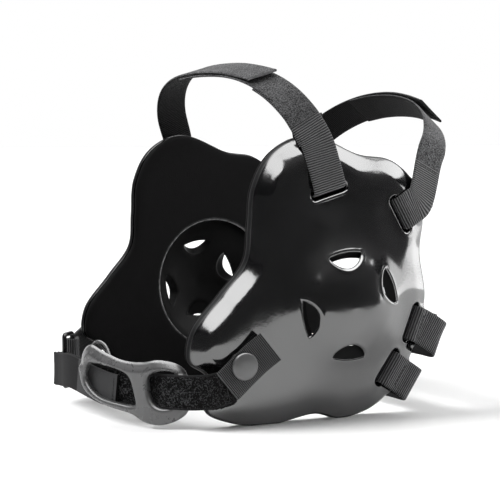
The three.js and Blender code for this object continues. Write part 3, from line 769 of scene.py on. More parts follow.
class Paint(NodeTree):
    """Lays out the nodes of one finish."""

    def __init__(self, name: str) -> None:
        """Starts a finish.

        Args:
            name: name of the material.
        """
        self.material = bpy.data.materials.new(name)
        super().__init__(self.material)
        self.shader = self.nodes["Principled BSDF"]

    def maths(self, operation: str, *values: object) -> Socket:
        """Result of one sum on numbers or sockets."""
        node = self.add("ShaderNodeMath", dict(enumerate(values)), operation=operation)
        return node.outputs[0]

    def place(self, source: str = "Object") -> Socket:
        """Coordinates of the piece, or of its cloth for UV."""
        return self.add("ShaderNodeTexCoord", {}).outputs[source]

    def grain(self, place: object, scale: float, detail: float = 2.0, rough: float = 0.5) -> Socket:
        """Soft noise from 0 to 1 at a scale per metre."""
        inputs = {"Vector": place, "Scale": scale, "Detail": detail, "Roughness": rough}
        return self.add("ShaderNodeTexNoise", inputs).outputs["Fac"]

    def span(self, value: object, low: float, high: float, to_low: float, to_high: float) -> Socket:
        """Value moved from one range to another and held inside it."""
        node = self.add("ShaderNodeMapRange", {0: value, 1: low, 2: high, 3: to_low, 4: to_high})
        return node.outputs[0]

    def mark(self, name: str) -> Socket:
        """Values that the points of a piece carry under a name."""
        return self.add("ShaderNodeAttribute", {}, attribute_name=name).outputs["Fac"]

    def shade(self, share: object, first: object, second: tuple) -> Socket:
        """Colour between two colours.

        Args:
            share: share of the second colour.
            first: plain colour, or the socket of one.
            second: plain colour.

        Returns:
            The mixed colour.
        """
        first = (*first, 1.0) if isinstance(first, tuple) else first
        node = self.add("ShaderNodeMix", {"Factor": share, 6: first, 7: (*second, 1.0)}, data_type="RGBA")
        return node.outputs[2]

    def relief(self, height: object, depth_mm: float, strength: float = 1.0) -> None:
        """Adds a relief over the reliefs so far.

        Args:
            height: socket of the relief's heights, from 0 to 1.
            depth_mm: depth of the relief.
            strength: share of it that shows.
        """
        target = self.shader.inputs["Normal"]
        node = self.add("ShaderNodeBump", {"Height": height, "Strength": strength, "Distance": depth_mm * MM})
        if target.is_linked:
            self.links.new(target.links[0].from_socket, node.inputs["Normal"])
        self.links.new(node.outputs[0], target)

    def set(self, **values: object) -> None:
        """Sets the shader's sockets, named with underscores for spaces."""
        for key, value in values.items():
            self.put(self.shader.inputs[key.replace("_", " ")], value)


@dataclass(frozen=True)
class VinylFinish:
    """Glossy black vinyl skin with a faint orange peel and smudges, and a painted highlight: paler colour on the lips
    round its holes.
    """

    name: str = "glossy_vinyl"
    black: tuple = (0.0045, 0.0045, 0.005)
    # paler colour on the lips round the holes: a painted highlight
    lip_highlight: tuple = (0.022, 0.022, 0.023)
    ior: float = 2.2

    def make(self) -> Material:
        """Makes the material.

        Returns:
            The new material.
        """
        paint = Paint(self.name)
        place = paint.place()
        smudge = paint.grain(place, 55.0, 4.0, 0.6)
        rim = paint.mark("rim")
        lip = paint.mark("lip")
        # share of the paler lip colour, broken up by noise: where the highlight is painted
        lip_highlight_share = paint.maths("MULTIPLY", lip, paint.span(paint.grain(place, 700.0, 3.0), 0.35, 0.75, 0.0, 1.0))
        paint.set(
            Base_Color=paint.shade(lip_highlight_share, self.black, self.lip_highlight),
            Roughness=paint.maths("MULTIPLY_ADD", rim, 0.4, paint.span(smudge, 0.35, 0.75, 0.09, 0.15)),
            IOR=self.ior, Specular_IOR_Level=paint.span(rim, 0.0, 1.0, 0.5, 0.04),
        )
        paint.relief(paint.grain(place, 620.0, 2.0), 0.015)
        paint.relief(paint.grain(place, 48.0, 1.0), 0.12)
        return paint.material


@dataclass(frozen=True)
class SatinSkinFinish:
    """Satin black skin inside the ear bowl and under the liner."""

    name: str = "satin_skin"
    dark: tuple = (0.001, 0.001, 0.0011)
    pale: tuple = (0.0025, 0.0025, 0.0027)

    def make(self) -> Material:
        """Makes the material.

        Returns:
            The new material.
        """
        paint = Paint(self.name)
        place = paint.place()
        cloud = paint.grain(place, 80.0, 5.0, 0.6)
        paint.set(
            Base_Color=paint.shade(cloud, self.dark, self.pale),
            Roughness=paint.span(cloud, 0.3, 0.7, 0.38, 0.48),
            IOR=1.5, Specular_IOR_Level=0.1,
        )
        paint.relief(paint.grain(place, 900.0, 2.0), 0.03)
        return paint.material


@dataclass(frozen=True)
class FoamFinish:
    """Matt black closed-cell foam with fine pores, and a painted highlight: pale grey round the lip of the ear hole.
    """

    name: str = "liner_foam"
    dark: tuple = (0.0015, 0.0015, 0.0016)
    pale: tuple = (0.004, 0.004, 0.0042)
    # pale grey round the ear hole's lip: a painted highlight
    lip_highlight: tuple = (0.24, 0.24, 0.243)

    def make(self) -> Material:
        """Makes the material.

        Returns:
            The new material.
        """
        paint = Paint(self.name)
        place = paint.place()
        cloud = paint.grain(place, 70.0, 5.0, 0.65)
        pores = paint.add("ShaderNodeTexVoronoi", {"Vector": place, "Scale": 1300.0}).outputs["Distance"]
        lip = paint.mark("lip")
        # share of the pale grey on the ear hole's lip, broken up by noise: a painted highlight
        lip_highlight = paint.maths("MULTIPLY", lip, paint.span(paint.grain(place, 420.0, 3.0), 0.3, 0.6, 0.2, 1.0))
        body = paint.shade(cloud, self.dark, self.pale)
        paint.set(
            Base_Color=paint.shade(lip_highlight, body, self.lip_highlight),
            Roughness=paint.span(cloud, 0.3, 0.7, 0.6, 0.75),
            IOR=1.45, Specular_IOR_Level=0.07,
        )
        paint.relief(pores, 0.07, 0.7)
        paint.relief(paint.grain(place, 160.0, 3.0), 0.05)
        return paint.material


@dataclass(frozen=True)
class WebbingFinish:
    """Dark woven webbing with ribs across the band and fine warp threads along it, near black in the valleys and pale
    on the crests: painted shade and highlight that follow the relief.
    """

    name: str = "ribbed_webbing"
    valley: tuple = (0.001, 0.001, 0.0011)
    crest_highlight: tuple = (0.125, 0.125, 0.129)
    rib_mm: float = 1.2
    warp_mm: float = 0.46
    depth_mm: float = 0.28
    gloss: float = 1.0

    def make(self) -> Material:
        """Makes the material.

        Returns:
            The new material.
        """
        paint = Paint(self.name)
        cloth = paint.add("ShaderNodeSeparateXYZ", {0: paint.place("UV")})
        wobble = paint.maths("MULTIPLY", paint.grain(paint.place(), 350.0, 2.0), 0.00035)
        along = paint.maths("ADD", cloth.outputs[1], wobble)
        rib_turn = paint.maths("MULTIPLY", along, 2 * math.pi / (self.rib_mm * MM))
        rib = paint.span(paint.maths("SINE", rib_turn), -0.25, 0.75, 0.0, 1.0)
        number = paint.maths("FLOOR", paint.maths("MULTIPLY", along, 1 / (self.rib_mm * MM)))
        half_turn = paint.maths("MULTIPLY", number, math.pi)
        warp_turn = paint.maths("MULTIPLY_ADD", cloth.outputs[0], 2 * math.pi / (self.warp_mm * MM), half_turn)
        warp = paint.maths("MULTIPLY_ADD", paint.maths("SINE", warp_turn), 0.5, 0.5)
        thread = paint.maths("MULTIPLY_ADD", warp, 0.22, paint.maths("MULTIPLY", rib, 0.78))
        fuzz = paint.grain(paint.place(), 1500.0, 3.0, 0.7)
        # colour follows the relief: painted shade in the valleys, painted highlight on the crests
        tone = paint.maths("MULTIPLY_ADD", fuzz, 0.5, paint.maths("SUBTRACT", thread, 0.25))
        paint.set(
            Base_Color=paint.shade(paint.span(tone, 0.1, 0.95, 0.0, 1.0), self.valley, self.crest_highlight),
            Roughness=0.72, IOR=1.45, Specular_IOR_Level=0.25 * self.gloss, Sheen_Weight=0.06 * self.gloss,
            Sheen_Roughness=0.45,
        )
        paint.relief(thread, self.depth_mm)
        paint.relief(fuzz, 0.05)
        return paint.material


@dataclass(frozen=True)
class BrushedFinish:
    """Brushed loop tape: a short dark nap without ribs, pale where the nap stands high and dark where it is low:
    painted highlight and shade that follow the relief.
    """

    name: str = "brushed_loop_tape"
    dark: tuple = (0.0015, 0.0015, 0.0016)
    pale: tuple = (0.12, 0.12, 0.124)

    def make(self) -> Material:
        """Makes the material.

        Returns:
            The new material.
        """
        paint = Paint(self.name)
        place = paint.place()
        nap = paint.grain(place, 1500.0, 2.0, 0.6)
        cloud = paint.grain(place, 150.0, 3.0)
        tone = paint.maths("MULTIPLY_ADD", cloud, 0.15, paint.maths("MULTIPLY", nap, 0.85))
        # pale where the nap stands high, dark where it is low: painted highlight and shade
        paint.set(
            Base_Color=paint.shade(paint.span(tone, 0.4, 0.62, 0.0, 1.0), self.dark, self.pale),
            Roughness=0.85, IOR=1.4, Specular_IOR_Level=0.15, Sheen_Weight=0.05, Sheen_Roughness=0.4,
        )
        paint.relief(nap, 0.11)
        return paint.material


@dataclass(frozen=True)
class PileFinish:
    """Coarse black loop pile, near black between its loops and grey on them: painted shade and highlight that follow
    the relief.
    """

    name: str = "loop_pile"
    deep_shade: tuple = (0.0004, 0.0004, 0.0005)
    loop: tuple = (0.035, 0.035, 0.0362)

    def make(self) -> Material:
        """Makes the material.

        Returns:
            The new material.
        """
        paint = Paint(self.name)
        place = paint.place()
        inputs = {"Vector": place, "Scale": 620.0, "Detail": 1.0, "Roughness": 0.5, "Distortion": 2.0}
        tone = paint.add("ShaderNodeTexNoise", inputs).outputs["Fac"]
        # near black in the hollows and grey on the loops: painted shade and highlight
        paint.set(
            Base_Color=paint.shade(paint.span(tone, 0.53, 0.6, 0.0, 1.0), self.deep_shade, self.loop),
            Roughness=0.7, IOR=1.45, Specular_IOR_Level=0.12,
        )
        paint.relief(tone, 0.5)
        return paint.material


@dataclass(frozen=True)
class ThreadFinish:
    """Black sewing thread with a twist."""

    name: str = "sewing_thread"
    dark: tuple = (0.006, 0.006, 0.0065)
    pale: tuple = (0.02, 0.02, 0.021)

    def make(self) -> Material:
        """Makes the material.

        Returns:
            The new material.
        """
        paint = Paint(self.name)
        twist = paint.grain(paint.place(), 2600.0, 2.0)
        paint.set(Base_Color=paint.shade(twist, self.dark, self.pale), Roughness=0.55, IOR=1.45)
        paint.relief(twist, 0.05)
        return paint.material


@dataclass(frozen=True)
class MouldedFinish:
    """Satin dark moulded plastic with a fine grain and rubbed spots."""

    name: str = "moulded_plastic"
    dark: tuple = (0.055, 0.055, 0.056)
    pale: tuple = (0.062, 0.062, 0.063)
    rough: tuple = (0.25, 0.31)
    ior: float = 1.8

    def make(self) -> Material:
        """Makes the material.

        Returns:
            The new material.
        """
        paint = Paint(self.name)
        place = paint.place()
        cloud = paint.grain(place, 130.0, 5.0, 0.65)
        paint.set(
            Base_Color=paint.shade(paint.span(cloud, 0.3, 0.7, 0.0, 1.0), self.dark, self.pale),
            Roughness=paint.span(cloud, 0.3, 0.7, *self.rough),
            IOR=self.ior,
        )
        paint.relief(paint.grain(place, 2200.0, 2.0), 0.003)
        paint.relief(paint.grain(place, 190.0, 2.0), 0.008)
        return paint.material


@dataclass(frozen=True)
class StageFinish:
    """Pale studio floor with a faint unevenness."""

    name: str = "studio_floor"
    pale: tuple = (0.74, 0.74, 0.74)
    paler: tuple = (0.77, 0.77, 0.77)

    def make(self) -> Material:
        """Makes the material.

        Returns:
            The new material.
        """
        paint = Paint(self.name)
        cloud = paint.grain(paint.place(), 2.0, 3.0)
        paint.set(Base_Color=paint.shade(cloud, self.pale, self.paler), Roughness=0.6)
        return paint.material


class Finishes:
    """All materials of the guard, each made once."""

    def __init__(self) -> None:
        """Makes the materials."""
        deep_shade = (0.0008, 0.0008, 0.0009)
        self.vinyl = VinylFinish().make()
        self.satin = SatinSkinFinish().make()
        self.foam = FoamFinish().make()
        self.webbing = WebbingFinish().make()
        self.brushed = BrushedFinish().make()
        # darker copy of the webbing for the head side and the hidden return of the slot straps: painted shade
        self.shaded_underside = WebbingFinish("shaded_underside_webbing", deep_shade, (0.016, 0.016, 0.0165), gloss=0.3).make()
        self.tab = WebbingFinish("tab_webbing", deep_shade, (0.085, 0.085, 0.088), 0.95).make()
        self.tape = WebbingFinish(
            "smooth_tape", (0.02, 0.02, 0.0205), (0.056, 0.056, 0.058), 0.7, 0.5, 0.06).make()
        self.bend = WebbingFinish(
            "dark_tape", (0.009, 0.009, 0.0093), (0.022, 0.022, 0.0227), 0.7, 0.5, 0.06, 0.2).make()
        self.pile = PileFinish().make()
        self.thread = ThreadFinish().make()
        self.moulded = MouldedFinish().make()
        self.wire = MouldedFinish(
            "wire_plastic", (0.003, 0.003, 0.0032), (0.007, 0.007, 0.0073), (0.12, 0.2), 1.45).make()
        self.cap = MouldedFinish(
            "painted_cap", (0.04, 0.04, 0.041), (0.055, 0.055, 0.056), (0.28, 0.38), 1.9).make()


def seat(piece: Piece, node: str) -> Piece:
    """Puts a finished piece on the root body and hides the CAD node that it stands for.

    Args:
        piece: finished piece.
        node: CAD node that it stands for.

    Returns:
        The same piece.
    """
    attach(piece, "root")
    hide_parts(node)
    LOG.info("%s stands for %s, %d faces", piece.name, node, len(piece.data.polygons))
    return piece


@dataclass
class EarShells:
    """The two glossy ear shells, with rolled lips round their vents and strap slots."""

    form: PadForm
    finishes: Finishes
    vent_angles: tuple = (21.5, 97.0, 192.0, 269.5)
    vent_shifts: tuple = (3.0, 0.0, 0.0, 5.5)
    vent_radius: float = 25.5
    vent_height: float = 16.6
    vent_tilt: float = 46.0
    vent_half_width: float = 9.5
    vent_inner_bulge: float = 7.0
    vent_outer_bulge: float = 0.8
    slot_half: float = 10.7
    slot_near: float = 3.0
    slot_far: float = 2.0
    slot_corner: float = 2.2
    lip_radius: float = 0.9
    grid_mm: float = 1.35
    edge_insets: tuple = (0.0, 0.3, 0.75, 1.4, 2.2, 3.2, 4.4, 5.8)
    lip_steps: tuple = (0.0, 0.12, 0.3, 0.55, 0.9, 1.3, 1.9, 2.7)
    welt_height: float = 0.28
    welt_at: float = 1.35
    welt_width: float = 0.55
    foot_steps: tuple = ((0.0, 0.5), (0.15, 0.2), (0.5, 0.0))
    wall_shares: tuple = (0.25, 0.5, 0.75)
    back_inset: float = 0.55
    back_margin: float = 1.6
    back_grid_mm: float = 2.2
    bowl_rings: tuple = (38.4, 38.2, 37.7, 37.0, 36.2, 35.2)
    bowl_points: int = 150
    bowl_clear: tuple = (34.4, 39.2)

    def build(self) -> list[Piece]:
        """Builds both shells from one form.

        Returns:
            The left and right shell.
        """
        points, faces, finishes, lips, rims = self._form_mesh()
        pieces = []
        for side in Side:
            parts = MeshParts()
            placed = EarFrame(side).points(points)
            placed[:, 2] = np.maximum(placed[:, 2], 0.0)
            parts.add(placed, faces, finishes)
            piece = parts.build(f"ear_shell_{side.word}", [self.finishes.vinyl, self.finishes.satin], 60.0)
            for name, values in (("lip", lips), ("rim", rims)):
                attribute = piece.data.attributes.new(name, "FLOAT", "POINT")
                attribute.data.foreach_set("value", values)
            pieces.append(seat(piece, f"shell_{side.word}"))
        return pieces

    def _lip(self, steps: Array) -> Array:
        """Drop of a rolled lip at distances from its hole, with a low welt behind it."""
        welt = self.welt_height * np.exp(-((steps - self.welt_at) / self.welt_width) ** 2)
        return edge_drop(steps, self.lip_radius) - welt

    def _moon(self) -> Array:
        """Half-moon outline of a vent, counter-clockwise, with soft tips.

        Returns:
            Flat points in order.
        """
        half = np.linspace(-1.0, 1.0, 37)
        inner = np.stack([half, -self.vent_inner_bulge * (1 - half ** 2) ** 0.75], axis=1)
        outer = np.stack([-half, self.vent_outer_bulge * (1 - half ** 2)], axis=1)
        return np.vstack([inner[:-1], outer[:-1]]) * np.array([self.vent_half_width, 1.0])

    def _through(self, outline: Array, angle: float, height: object, shift: float = 0.0) -> Array:
        """Points where a vent's outline meets a surface.

        Args:
            outline: outline in the vent's own plane.
            angle: place of the vent round the ear, in radians.
            height: function that gives the surface's height.
            shift: how far the outline lies nearer the ear centre.

        Returns:
            Points on the surface.
        """
        tilt = math.radians(self.vent_tilt)
        radial = np.array([math.cos(angle), math.sin(angle)])
        axis = np.array([*(radial * math.sin(tilt)), math.cos(tilt)])
        rising = np.array([*(radial * math.cos(tilt)), -math.sin(tilt)])
        across = np.array([radial[1], -radial[0], 0.0])
        middle = np.array([*(radial * (self.vent_radius - shift)), self.vent_height])
        start = middle + outline[:, :1] * across + outline[:, 1:] * rising
        low, high = np.full(len(start), -16.0), np.full(len(start), 16.0)
        for _ in range(40):
            half = (low + high) / 2
            point = start + half[:, None] * axis
            above = point[:, 2] > height(point[:, :2])
            high, low = np.where(above, half, high), np.where(above, low, half)
        return start + high[:, None] * axis

    def _slot_outline(self, slot: Slot) -> Array:
        """Rounded outline of a strap slot in the shell's plane, counter-clockwise.

        Args:
            slot: the slot.

        Returns:
            Evenly spaced flat points in order.
        """
        along, across = strap_axes(slot)
        half, corner = self.slot_half - self.slot_corner, self.slot_corner
        points = []
        for number, (a, t) in enumerate((
            (half, self.slot_far - corner), (-half, self.slot_far - corner),
            (-half, -self.slot_near + corner), (half, -self.slot_near + corner),
        )):
            for turn in np.linspace(0, math.pi / 2, 7):
                angle = number * math.pi / 2 + turn
                points.append((a + corner * math.cos(angle), t + corner * math.sin(angle)))
        corners = np.array(points)
        sides = np.linalg.norm(np.roll(corners, -1, axis=0) - corners, axis=1)
        places = np.concatenate(([0.0], np.cumsum(sides)))
        even = np.linspace(0, places[-1], 64, endpoint=False)
        closed = np.vstack([corners, corners[:1]])
        flat = np.stack([np.interp(even, places, closed[:, k]) for k in (0, 1)], axis=1)
        return np.array([slot.u, slot.v]) + flat[:, :1] * across + flat[:, 1:] * along

    def _form_mesh(self) -> tuple[Array, Faces, list[int], Array, Array]:
        """Mesh of one shell in its own frame.

        Returns:
            Points, faces, finish number of each face, and how near each point is to a hole's lip and
            to the rim.
        """
        form, skin, back = self.form, Patch(), Patch()
        rim = skin.add(self._raised(form.edge, 0.0), True)
        for amount in self.edge_insets[1:]:
            flat = form.inset(amount)
            skin.add(self._raised(flat[form.depth(flat) > 0.9 * amount], amount), False)
        back_edge = form.inset(self.back_inset)
        back_rim = back.add(np.column_stack([back_edge, form.inner(back_edge)]), True)
        turn = np.linspace(0, 2 * math.pi, self.bowl_points, endpoint=False)
        for radius in self.bowl_rings:
            circle = radius * np.stack([np.cos(turn), np.sin(turn)], axis=1)
            back.add(np.column_stack([circle, form.inner(circle * 0.99999)]), False)
        holes, zones, back_holes, back_zones, walls = [], [], [], [], []
        lip, moon = np.array(self.lip_steps), self._moon()
        lip_rows = list(zip(lip, self._lip(lip)))
        for slot in SLOTS.values():
            outline = self._slot_outline(slot)
            rows = [(loop_offset(outline, step), drop) for step, drop in lip_rows]
            mouth = self._collar(skin, [np.column_stack([flat, form.outer(flat) - drop]) for flat, drop in rows])
            walls.append((mouth, back.add(np.column_stack([outline, form.inner(outline)]), True)))
            holes.append(outline)
            back_holes.append(outline)
            zones.append(loop_offset(outline, lip[-1] + 0.5))
            back_zones.append(loop_offset(outline, 0.6))
        for degrees, shift in zip(self.vent_angles, self.vent_shifts):
            angle = math.radians(degrees)
            on_skin = [
                self._through(loop_offset(moon, step), angle, form.outer) - drop * UP for step, drop in lip_rows]
            on_bowl = [
                self._through(loop_offset(moon, step), angle, form.inner, shift) + drop * UP
                for step, drop in self.foot_steps]
            walls.append((self._collar(skin, on_skin), self._collar(back, on_bowl)))
            holes.append(on_skin[0][:, :2])
            back_holes.append(on_bowl[0][:, :2])
            zones.append(on_skin[-1][:, :2])
            back_zones.append(on_bowl[-1][:, :2])
        self._fill(skin, self.edge_insets[-1] + 0.7, zones, form.outer, self.grid_mm, 0.5)
        self._fill(back, self.back_margin, back_zones, form.inner, self.back_grid_mm, 0.7)
        skin_faces = skin.triangles(form.edge, holes)
        back_faces = back.triangles(back_edge, back_holes) + skin.count
        points = [skin.points, back.points]
        faces = [tuple(face) for face in skin_faces]
        finishes = [0] * len(faces)
        faces += [tuple(face[::-1]) for face in back_faces]
        finishes += [1] * len(back_faces)
        count = skin.count + back.count
        walls.append((rim, back_rim))
        for mouth, foot in walls:
            start, end = points[0][mouth], points[1][foot]
            numbers = [mouth]
            for share in self.wall_shares:
                points.append(start + (end - start) * share)
                numbers.append(np.arange(count, count + len(start)))
                count += len(start)
            made = bridge(numbers + [foot + skin.count])
            faces += made
            finishes += [int(mouth is not rim)] * len(made)
        joined = np.vstack(points)
        lips, rims = np.zeros(len(joined)), np.zeros(len(joined))
        near = np.min([edge_distance(skin.points[:, :2], hole) for hole in holes], axis=0)
        lips[:skin.count] = 1 - smoothstep(0.2, 1.6, near)
        rims[:skin.count] = 1 - smoothstep(0.5, 1.6, edge_distance(skin.points[:, :2], form.edge))
        rims[-len(self.wall_shares) * len(form.edge):] = 1.0
        return joined, faces, finishes, lips, rims

    def _collar(self, patch: Patch, loops: list[Array]) -> Array:
        """Adds the loops round a hole, the first as a closed one, and gives its numbers."""
        return [patch.add(loop, number == 0) for number, loop in enumerate(loops)][0]

    def _raised(self, flat: Array, amount: float) -> Array:
        """Loop on the skin, with the edge itself read just inside the outline."""
        inner = flat if amount > 0 else self.form.inset(1e-4)
        return np.column_stack([flat, self.form.outer(inner)])

    def _fill(
        self, patch: Patch, margin: float, zones: list[Array], height: object, step: float, clear: float,
    ) -> None:
        """Fills a patch with loose points away from its edge and holes.

        Args:
            patch: patch to fill.
            margin: distance from the edge that stays empty.
            zones: loops round the holes that stay empty.
            height: function that gives the surface's height.
            step: spacing of the points.
            clear: distance from the zones and other loops that stays empty.
        """
        flat = spread_grid(PAD_LOW, PAD_HIGH, step)
        flat = flat[self.form.depth(flat) > margin]
        for zone in zones:
            flat = flat[~inside_loop(flat, zone)]
            flat = flat[edge_distance(flat, zone) > clear]
        if step > self.grid_mm:
            radius = np.hypot(flat[:, 0], flat[:, 1])
            flat = flat[(radius < self.bowl_clear[0]) | (radius > self.bowl_clear[1])]
        patch.add(np.column_stack([flat, height(flat)]), False)


@dataclass
class Liners:
    """The two thin foam liners with their ear holes."""

    form: PadForm
    finishes: Finishes
    hole: float = 37.6
    ring_points: int = 160
    grid_mm: float = 3.2
    edge_clear: float = 5.0
    hole_clear: float = 41.5
    rim_rows: tuple = ((1.9, 2.5), (1.1, 2.2), (0.8, 1.6), (0.8, 0.8), (1.0, 0.2), (1.7, -0.3), (2.9, -0.5))
    hole_rows: tuple = ((0.7, 2.5), (0.2, 2.1), (0.0, 1.4), (0.0, 0.7), (0.2, 0.1), (0.8, -0.35), (1.8, -0.5))

    def build(self) -> list[Piece]:
        """Builds both liners from one form.

        Returns:
            The left and right liner.
        """
        points, faces = self._form_mesh()
        pieces = []
        for side in Side:
            parts = MeshParts()
            parts.add(EarFrame(side).points(points), faces, 0)
            piece = parts.build(f"foam_liner_{side.word}", [self.finishes.foam], 60.0)
            # points near the ear hole's lip carry the share of the foam's painted highlight
            gap = np.abs(np.hypot(points[:, 0], points[:, 1]) - self.hole)
            attribute = piece.data.attributes.new("lip", "FLOAT", "POINT")
            attribute.data.foreach_set("value", 1 - smoothstep(0.3, 1.0, gap))
            pieces.append(seat(piece, f"liner_{side.word}"))
        return pieces

    def _ring(self, radius: float, height: float) -> Array:
        """Circle about the ear centre."""
        turn = np.linspace(0, 2 * math.pi, self.ring_points, endpoint=False)
        return np.column_stack([radius * np.cos(turn), radius * np.sin(turn), np.full(len(turn), height)])

    def _form_mesh(self) -> tuple[Array, Faces]:
        """Mesh of one liner in the shell's frame.

        Returns:
            Points and faces.
        """
        rims = [np.column_stack([self.form.inset(i), np.full(len(self.form.edge), h)]) for i, h in self.rim_rows]
        rings = [self._ring(self.hole + out, height) for out, height in self.hole_rows]
        points, faces, numbers, count = [], [], [], 0
        for loop in rims + rings:
            points.append(loop)
            numbers.append(np.arange(count, count + len(loop)))
            count += len(loop)
        for rows in (numbers[:len(rims)], numbers[len(rims):]):
            faces += bridge(rows)
        for rim, ring in ((0, len(rims)), (len(rims) - 1, len(rims) + len(rings) - 1)):
            patch = Patch()
            patch.add(points[rim], True)
            patch.add(points[ring], True)
            loose = spread_grid(PAD_LOW, PAD_HIGH, self.grid_mm)
            radius = np.hypot(loose[:, 0], loose[:, 1])
            loose = loose[(self.form.depth(loose) > self.edge_clear) & (radius > self.hole_clear)]
            level = np.column_stack([loose, np.full(len(loose), points[rim][0, 2])])
            patch.add(level, False)
            corners = patch.triangles(points[rim][:, :2], [points[ring][:, :2]])
            table = np.concatenate([numbers[rim], numbers[ring], np.arange(count, count + len(level))])
            points.append(level)
            count += len(level)
            faces += [tuple(table[face]) for face in corners]
        return np.vstack(points), faces


class Station(NamedTuple):
    """Place on a band's middle line, with the direction across the band."""

    at: Array
    across: Array


@dataclass
class Band:
    """Flat woven band along stations, with soft edges, sewn stitches and a change of nap."""

    stations: list[Station]
    width: float
    thickness: float
    step: float = 0.9
    columns: tuple = (-1.0, -0.985, -0.94, -0.8, -0.55, -0.28, 0.0, 0.28, 0.55, 0.8, 0.94, 0.985, 1.0)
    depths: tuple = (0.12, 0.66, 0.97, 1.0, 0.94, 0.94, 0.94, 0.94, 0.94, 1.0, 0.97, 0.66, 0.12)
    stitch_rings: tuple = ((-0.5, 0.35), (-0.36, 1.0), (0.36, 1.0), (0.5, 0.35))

    def __post_init__(self) -> None:
        """Measures the band's rows."""
        curve = Spline(np.array([station.at for station in self.stations]))
        rows = max(int(curve.length / self.step), 8)
        shares = curve.share_at(np.linspace(0, 1, rows + 1))
        self.middle = curve.at(shares)
        self.tangent = curve.tangent(shares)
        place = shares * curve.spans
        span = np.clip(np.floor(place).astype(int), 0, curve.spans - 1)
        blend = (place - span)[:, None]
        directions = np.array([station.across for station in self.stations])
        across = directions[span] * (1 - blend) + directions[span + 1] * blend
        across -= np.sum(across * self.tangent, axis=1, keepdims=True) * self.tangent
        self.across = unit(across)
        self.normal = np.cross(self.tangent, self.across)
        self.along = np.linspace(0, curve.length, rows + 1)
        self.length = curve.length
        self.curve = curve

    def along_of(self, station: int) -> float:
        """Distance along the band to a station."""
        return float(np.interp(station / self.curve.spans, self.curve.shares, self.curve.lengths))

    def point(self, along: float, across: float, out: float) -> tuple[Array, Array, Array, Array]:
        """Point of the band and its directions there.

        Args:
            along: distance from the start.
            across: distance from the middle line.
            out: distance from the middle line along the normal.

        Returns:
            The point, and the directions along, across and out.
        """
        frames = [
            np.array([np.interp(along, self.along, table[:, k]) for k in range(3)])
            for table in (self.middle, self.tangent, self.across, self.normal)
        ]
        middle, tangent, over, normal = frames
        return middle + over * across + normal * out, unit(tangent), unit(over), unit(normal)

    def mesh(self, parts: MeshParts, zones: list[tuple[float, float, int, int]]) -> None:
        """Adds the band to a piece.

        Args:
            parts: piece to add to.
            zones: stretches with another finish: from, to, side of the normal (1, -1 or 0 for both), finish.
        """
        columns = np.array(self.columns) * self.width / 2
        depths = np.array(self.depths) * self.thickness / 2
        across = np.concatenate([columns, columns[::-1]])
        out = np.concatenate([depths, -depths[::-1]])
        count, rows = len(across), len(self.middle)
        points = (
            self.middle[:, None, :] + self.across[:, None, :] * across[None, :, None]
            + self.normal[:, None, :] * out[None, :, None]
        )
        layout = np.empty((rows, count, 2))
        layout[..., 0] = (across[None] + self.width / 2) * MM
        layout[..., 1] = self.along[:, None] * MM
        faces, finishes = [], []
        sides = np.sign(out + np.roll(out, -1))
        for row in range(rows - 1):
            middle = (self.along[row] + self.along[row + 1]) / 2
            for column in range(count):
                right = (column + 1) % count
                here, there = row * count, (row + 1) * count
                faces.append((here + column, here + right, there + right, there + column))
                finishes.append(next((
                    zone[3] for zone in zones
                    if zone[0] <= middle <= zone[1] and zone[2] in (0, sides[column])), 0))
        half = count // 2
        for base, turned in ((0, True), ((rows - 1) * count, False)):
            for column in range(half - 1):
                face = (base + column, base + column + 1, base + count - 2 - column, base + count - 1 - column)
                faces.append(face[::-1] if turned else face)
                finishes.append(0)
        parts.add(points.reshape(-1, 3), faces, finishes, layout.reshape(-1, 2))

    def sew(
        self, parts: MeshParts, path: list[tuple[float, float]], side: int, finish: int,
        pitch: float = 2.6, length: float = 1.9, radius: float = 0.26,
    ) -> None:
        """Adds a row of stitches along a path on one face of the band.

        Args:
            parts: piece to add to.
            path: corners of the row: distance along and distance across.
            side: face of the band, 1 along the normal or -1 against it.
            finish: finish number of the thread.
            pitch: distance from stitch to stitch.
            length: length of a stitch.
            radius: half its thickness.
        """
        for start, end in zip(path, path[1:]):
            start, end = np.array(start), np.array(end)
            run = np.linalg.norm(end - start)
            number = max(int(run / pitch), 1)
            heading = (end - start) / run
            for index in range(number):
                place = start + (end - start) * (index + 0.5) / number
                at, along, over, out = self.point(place[0], place[1], side * (self.thickness / 2 - 0.05))
                forward = unit(along * heading[0] + over * heading[1])
                sideways = np.cross(out, forward)
                points = [
                    at + forward * share * length + sideways * radius * size * math.cos(turn * math.pi / 3)
                    + out * side * radius * size * math.sin(turn * math.pi / 3)
                    for share, size in self.stitch_rings for turn in range(6)
                ]
                parts.add(np.array(points), tube(len(self.stitch_rings), 6), finish)


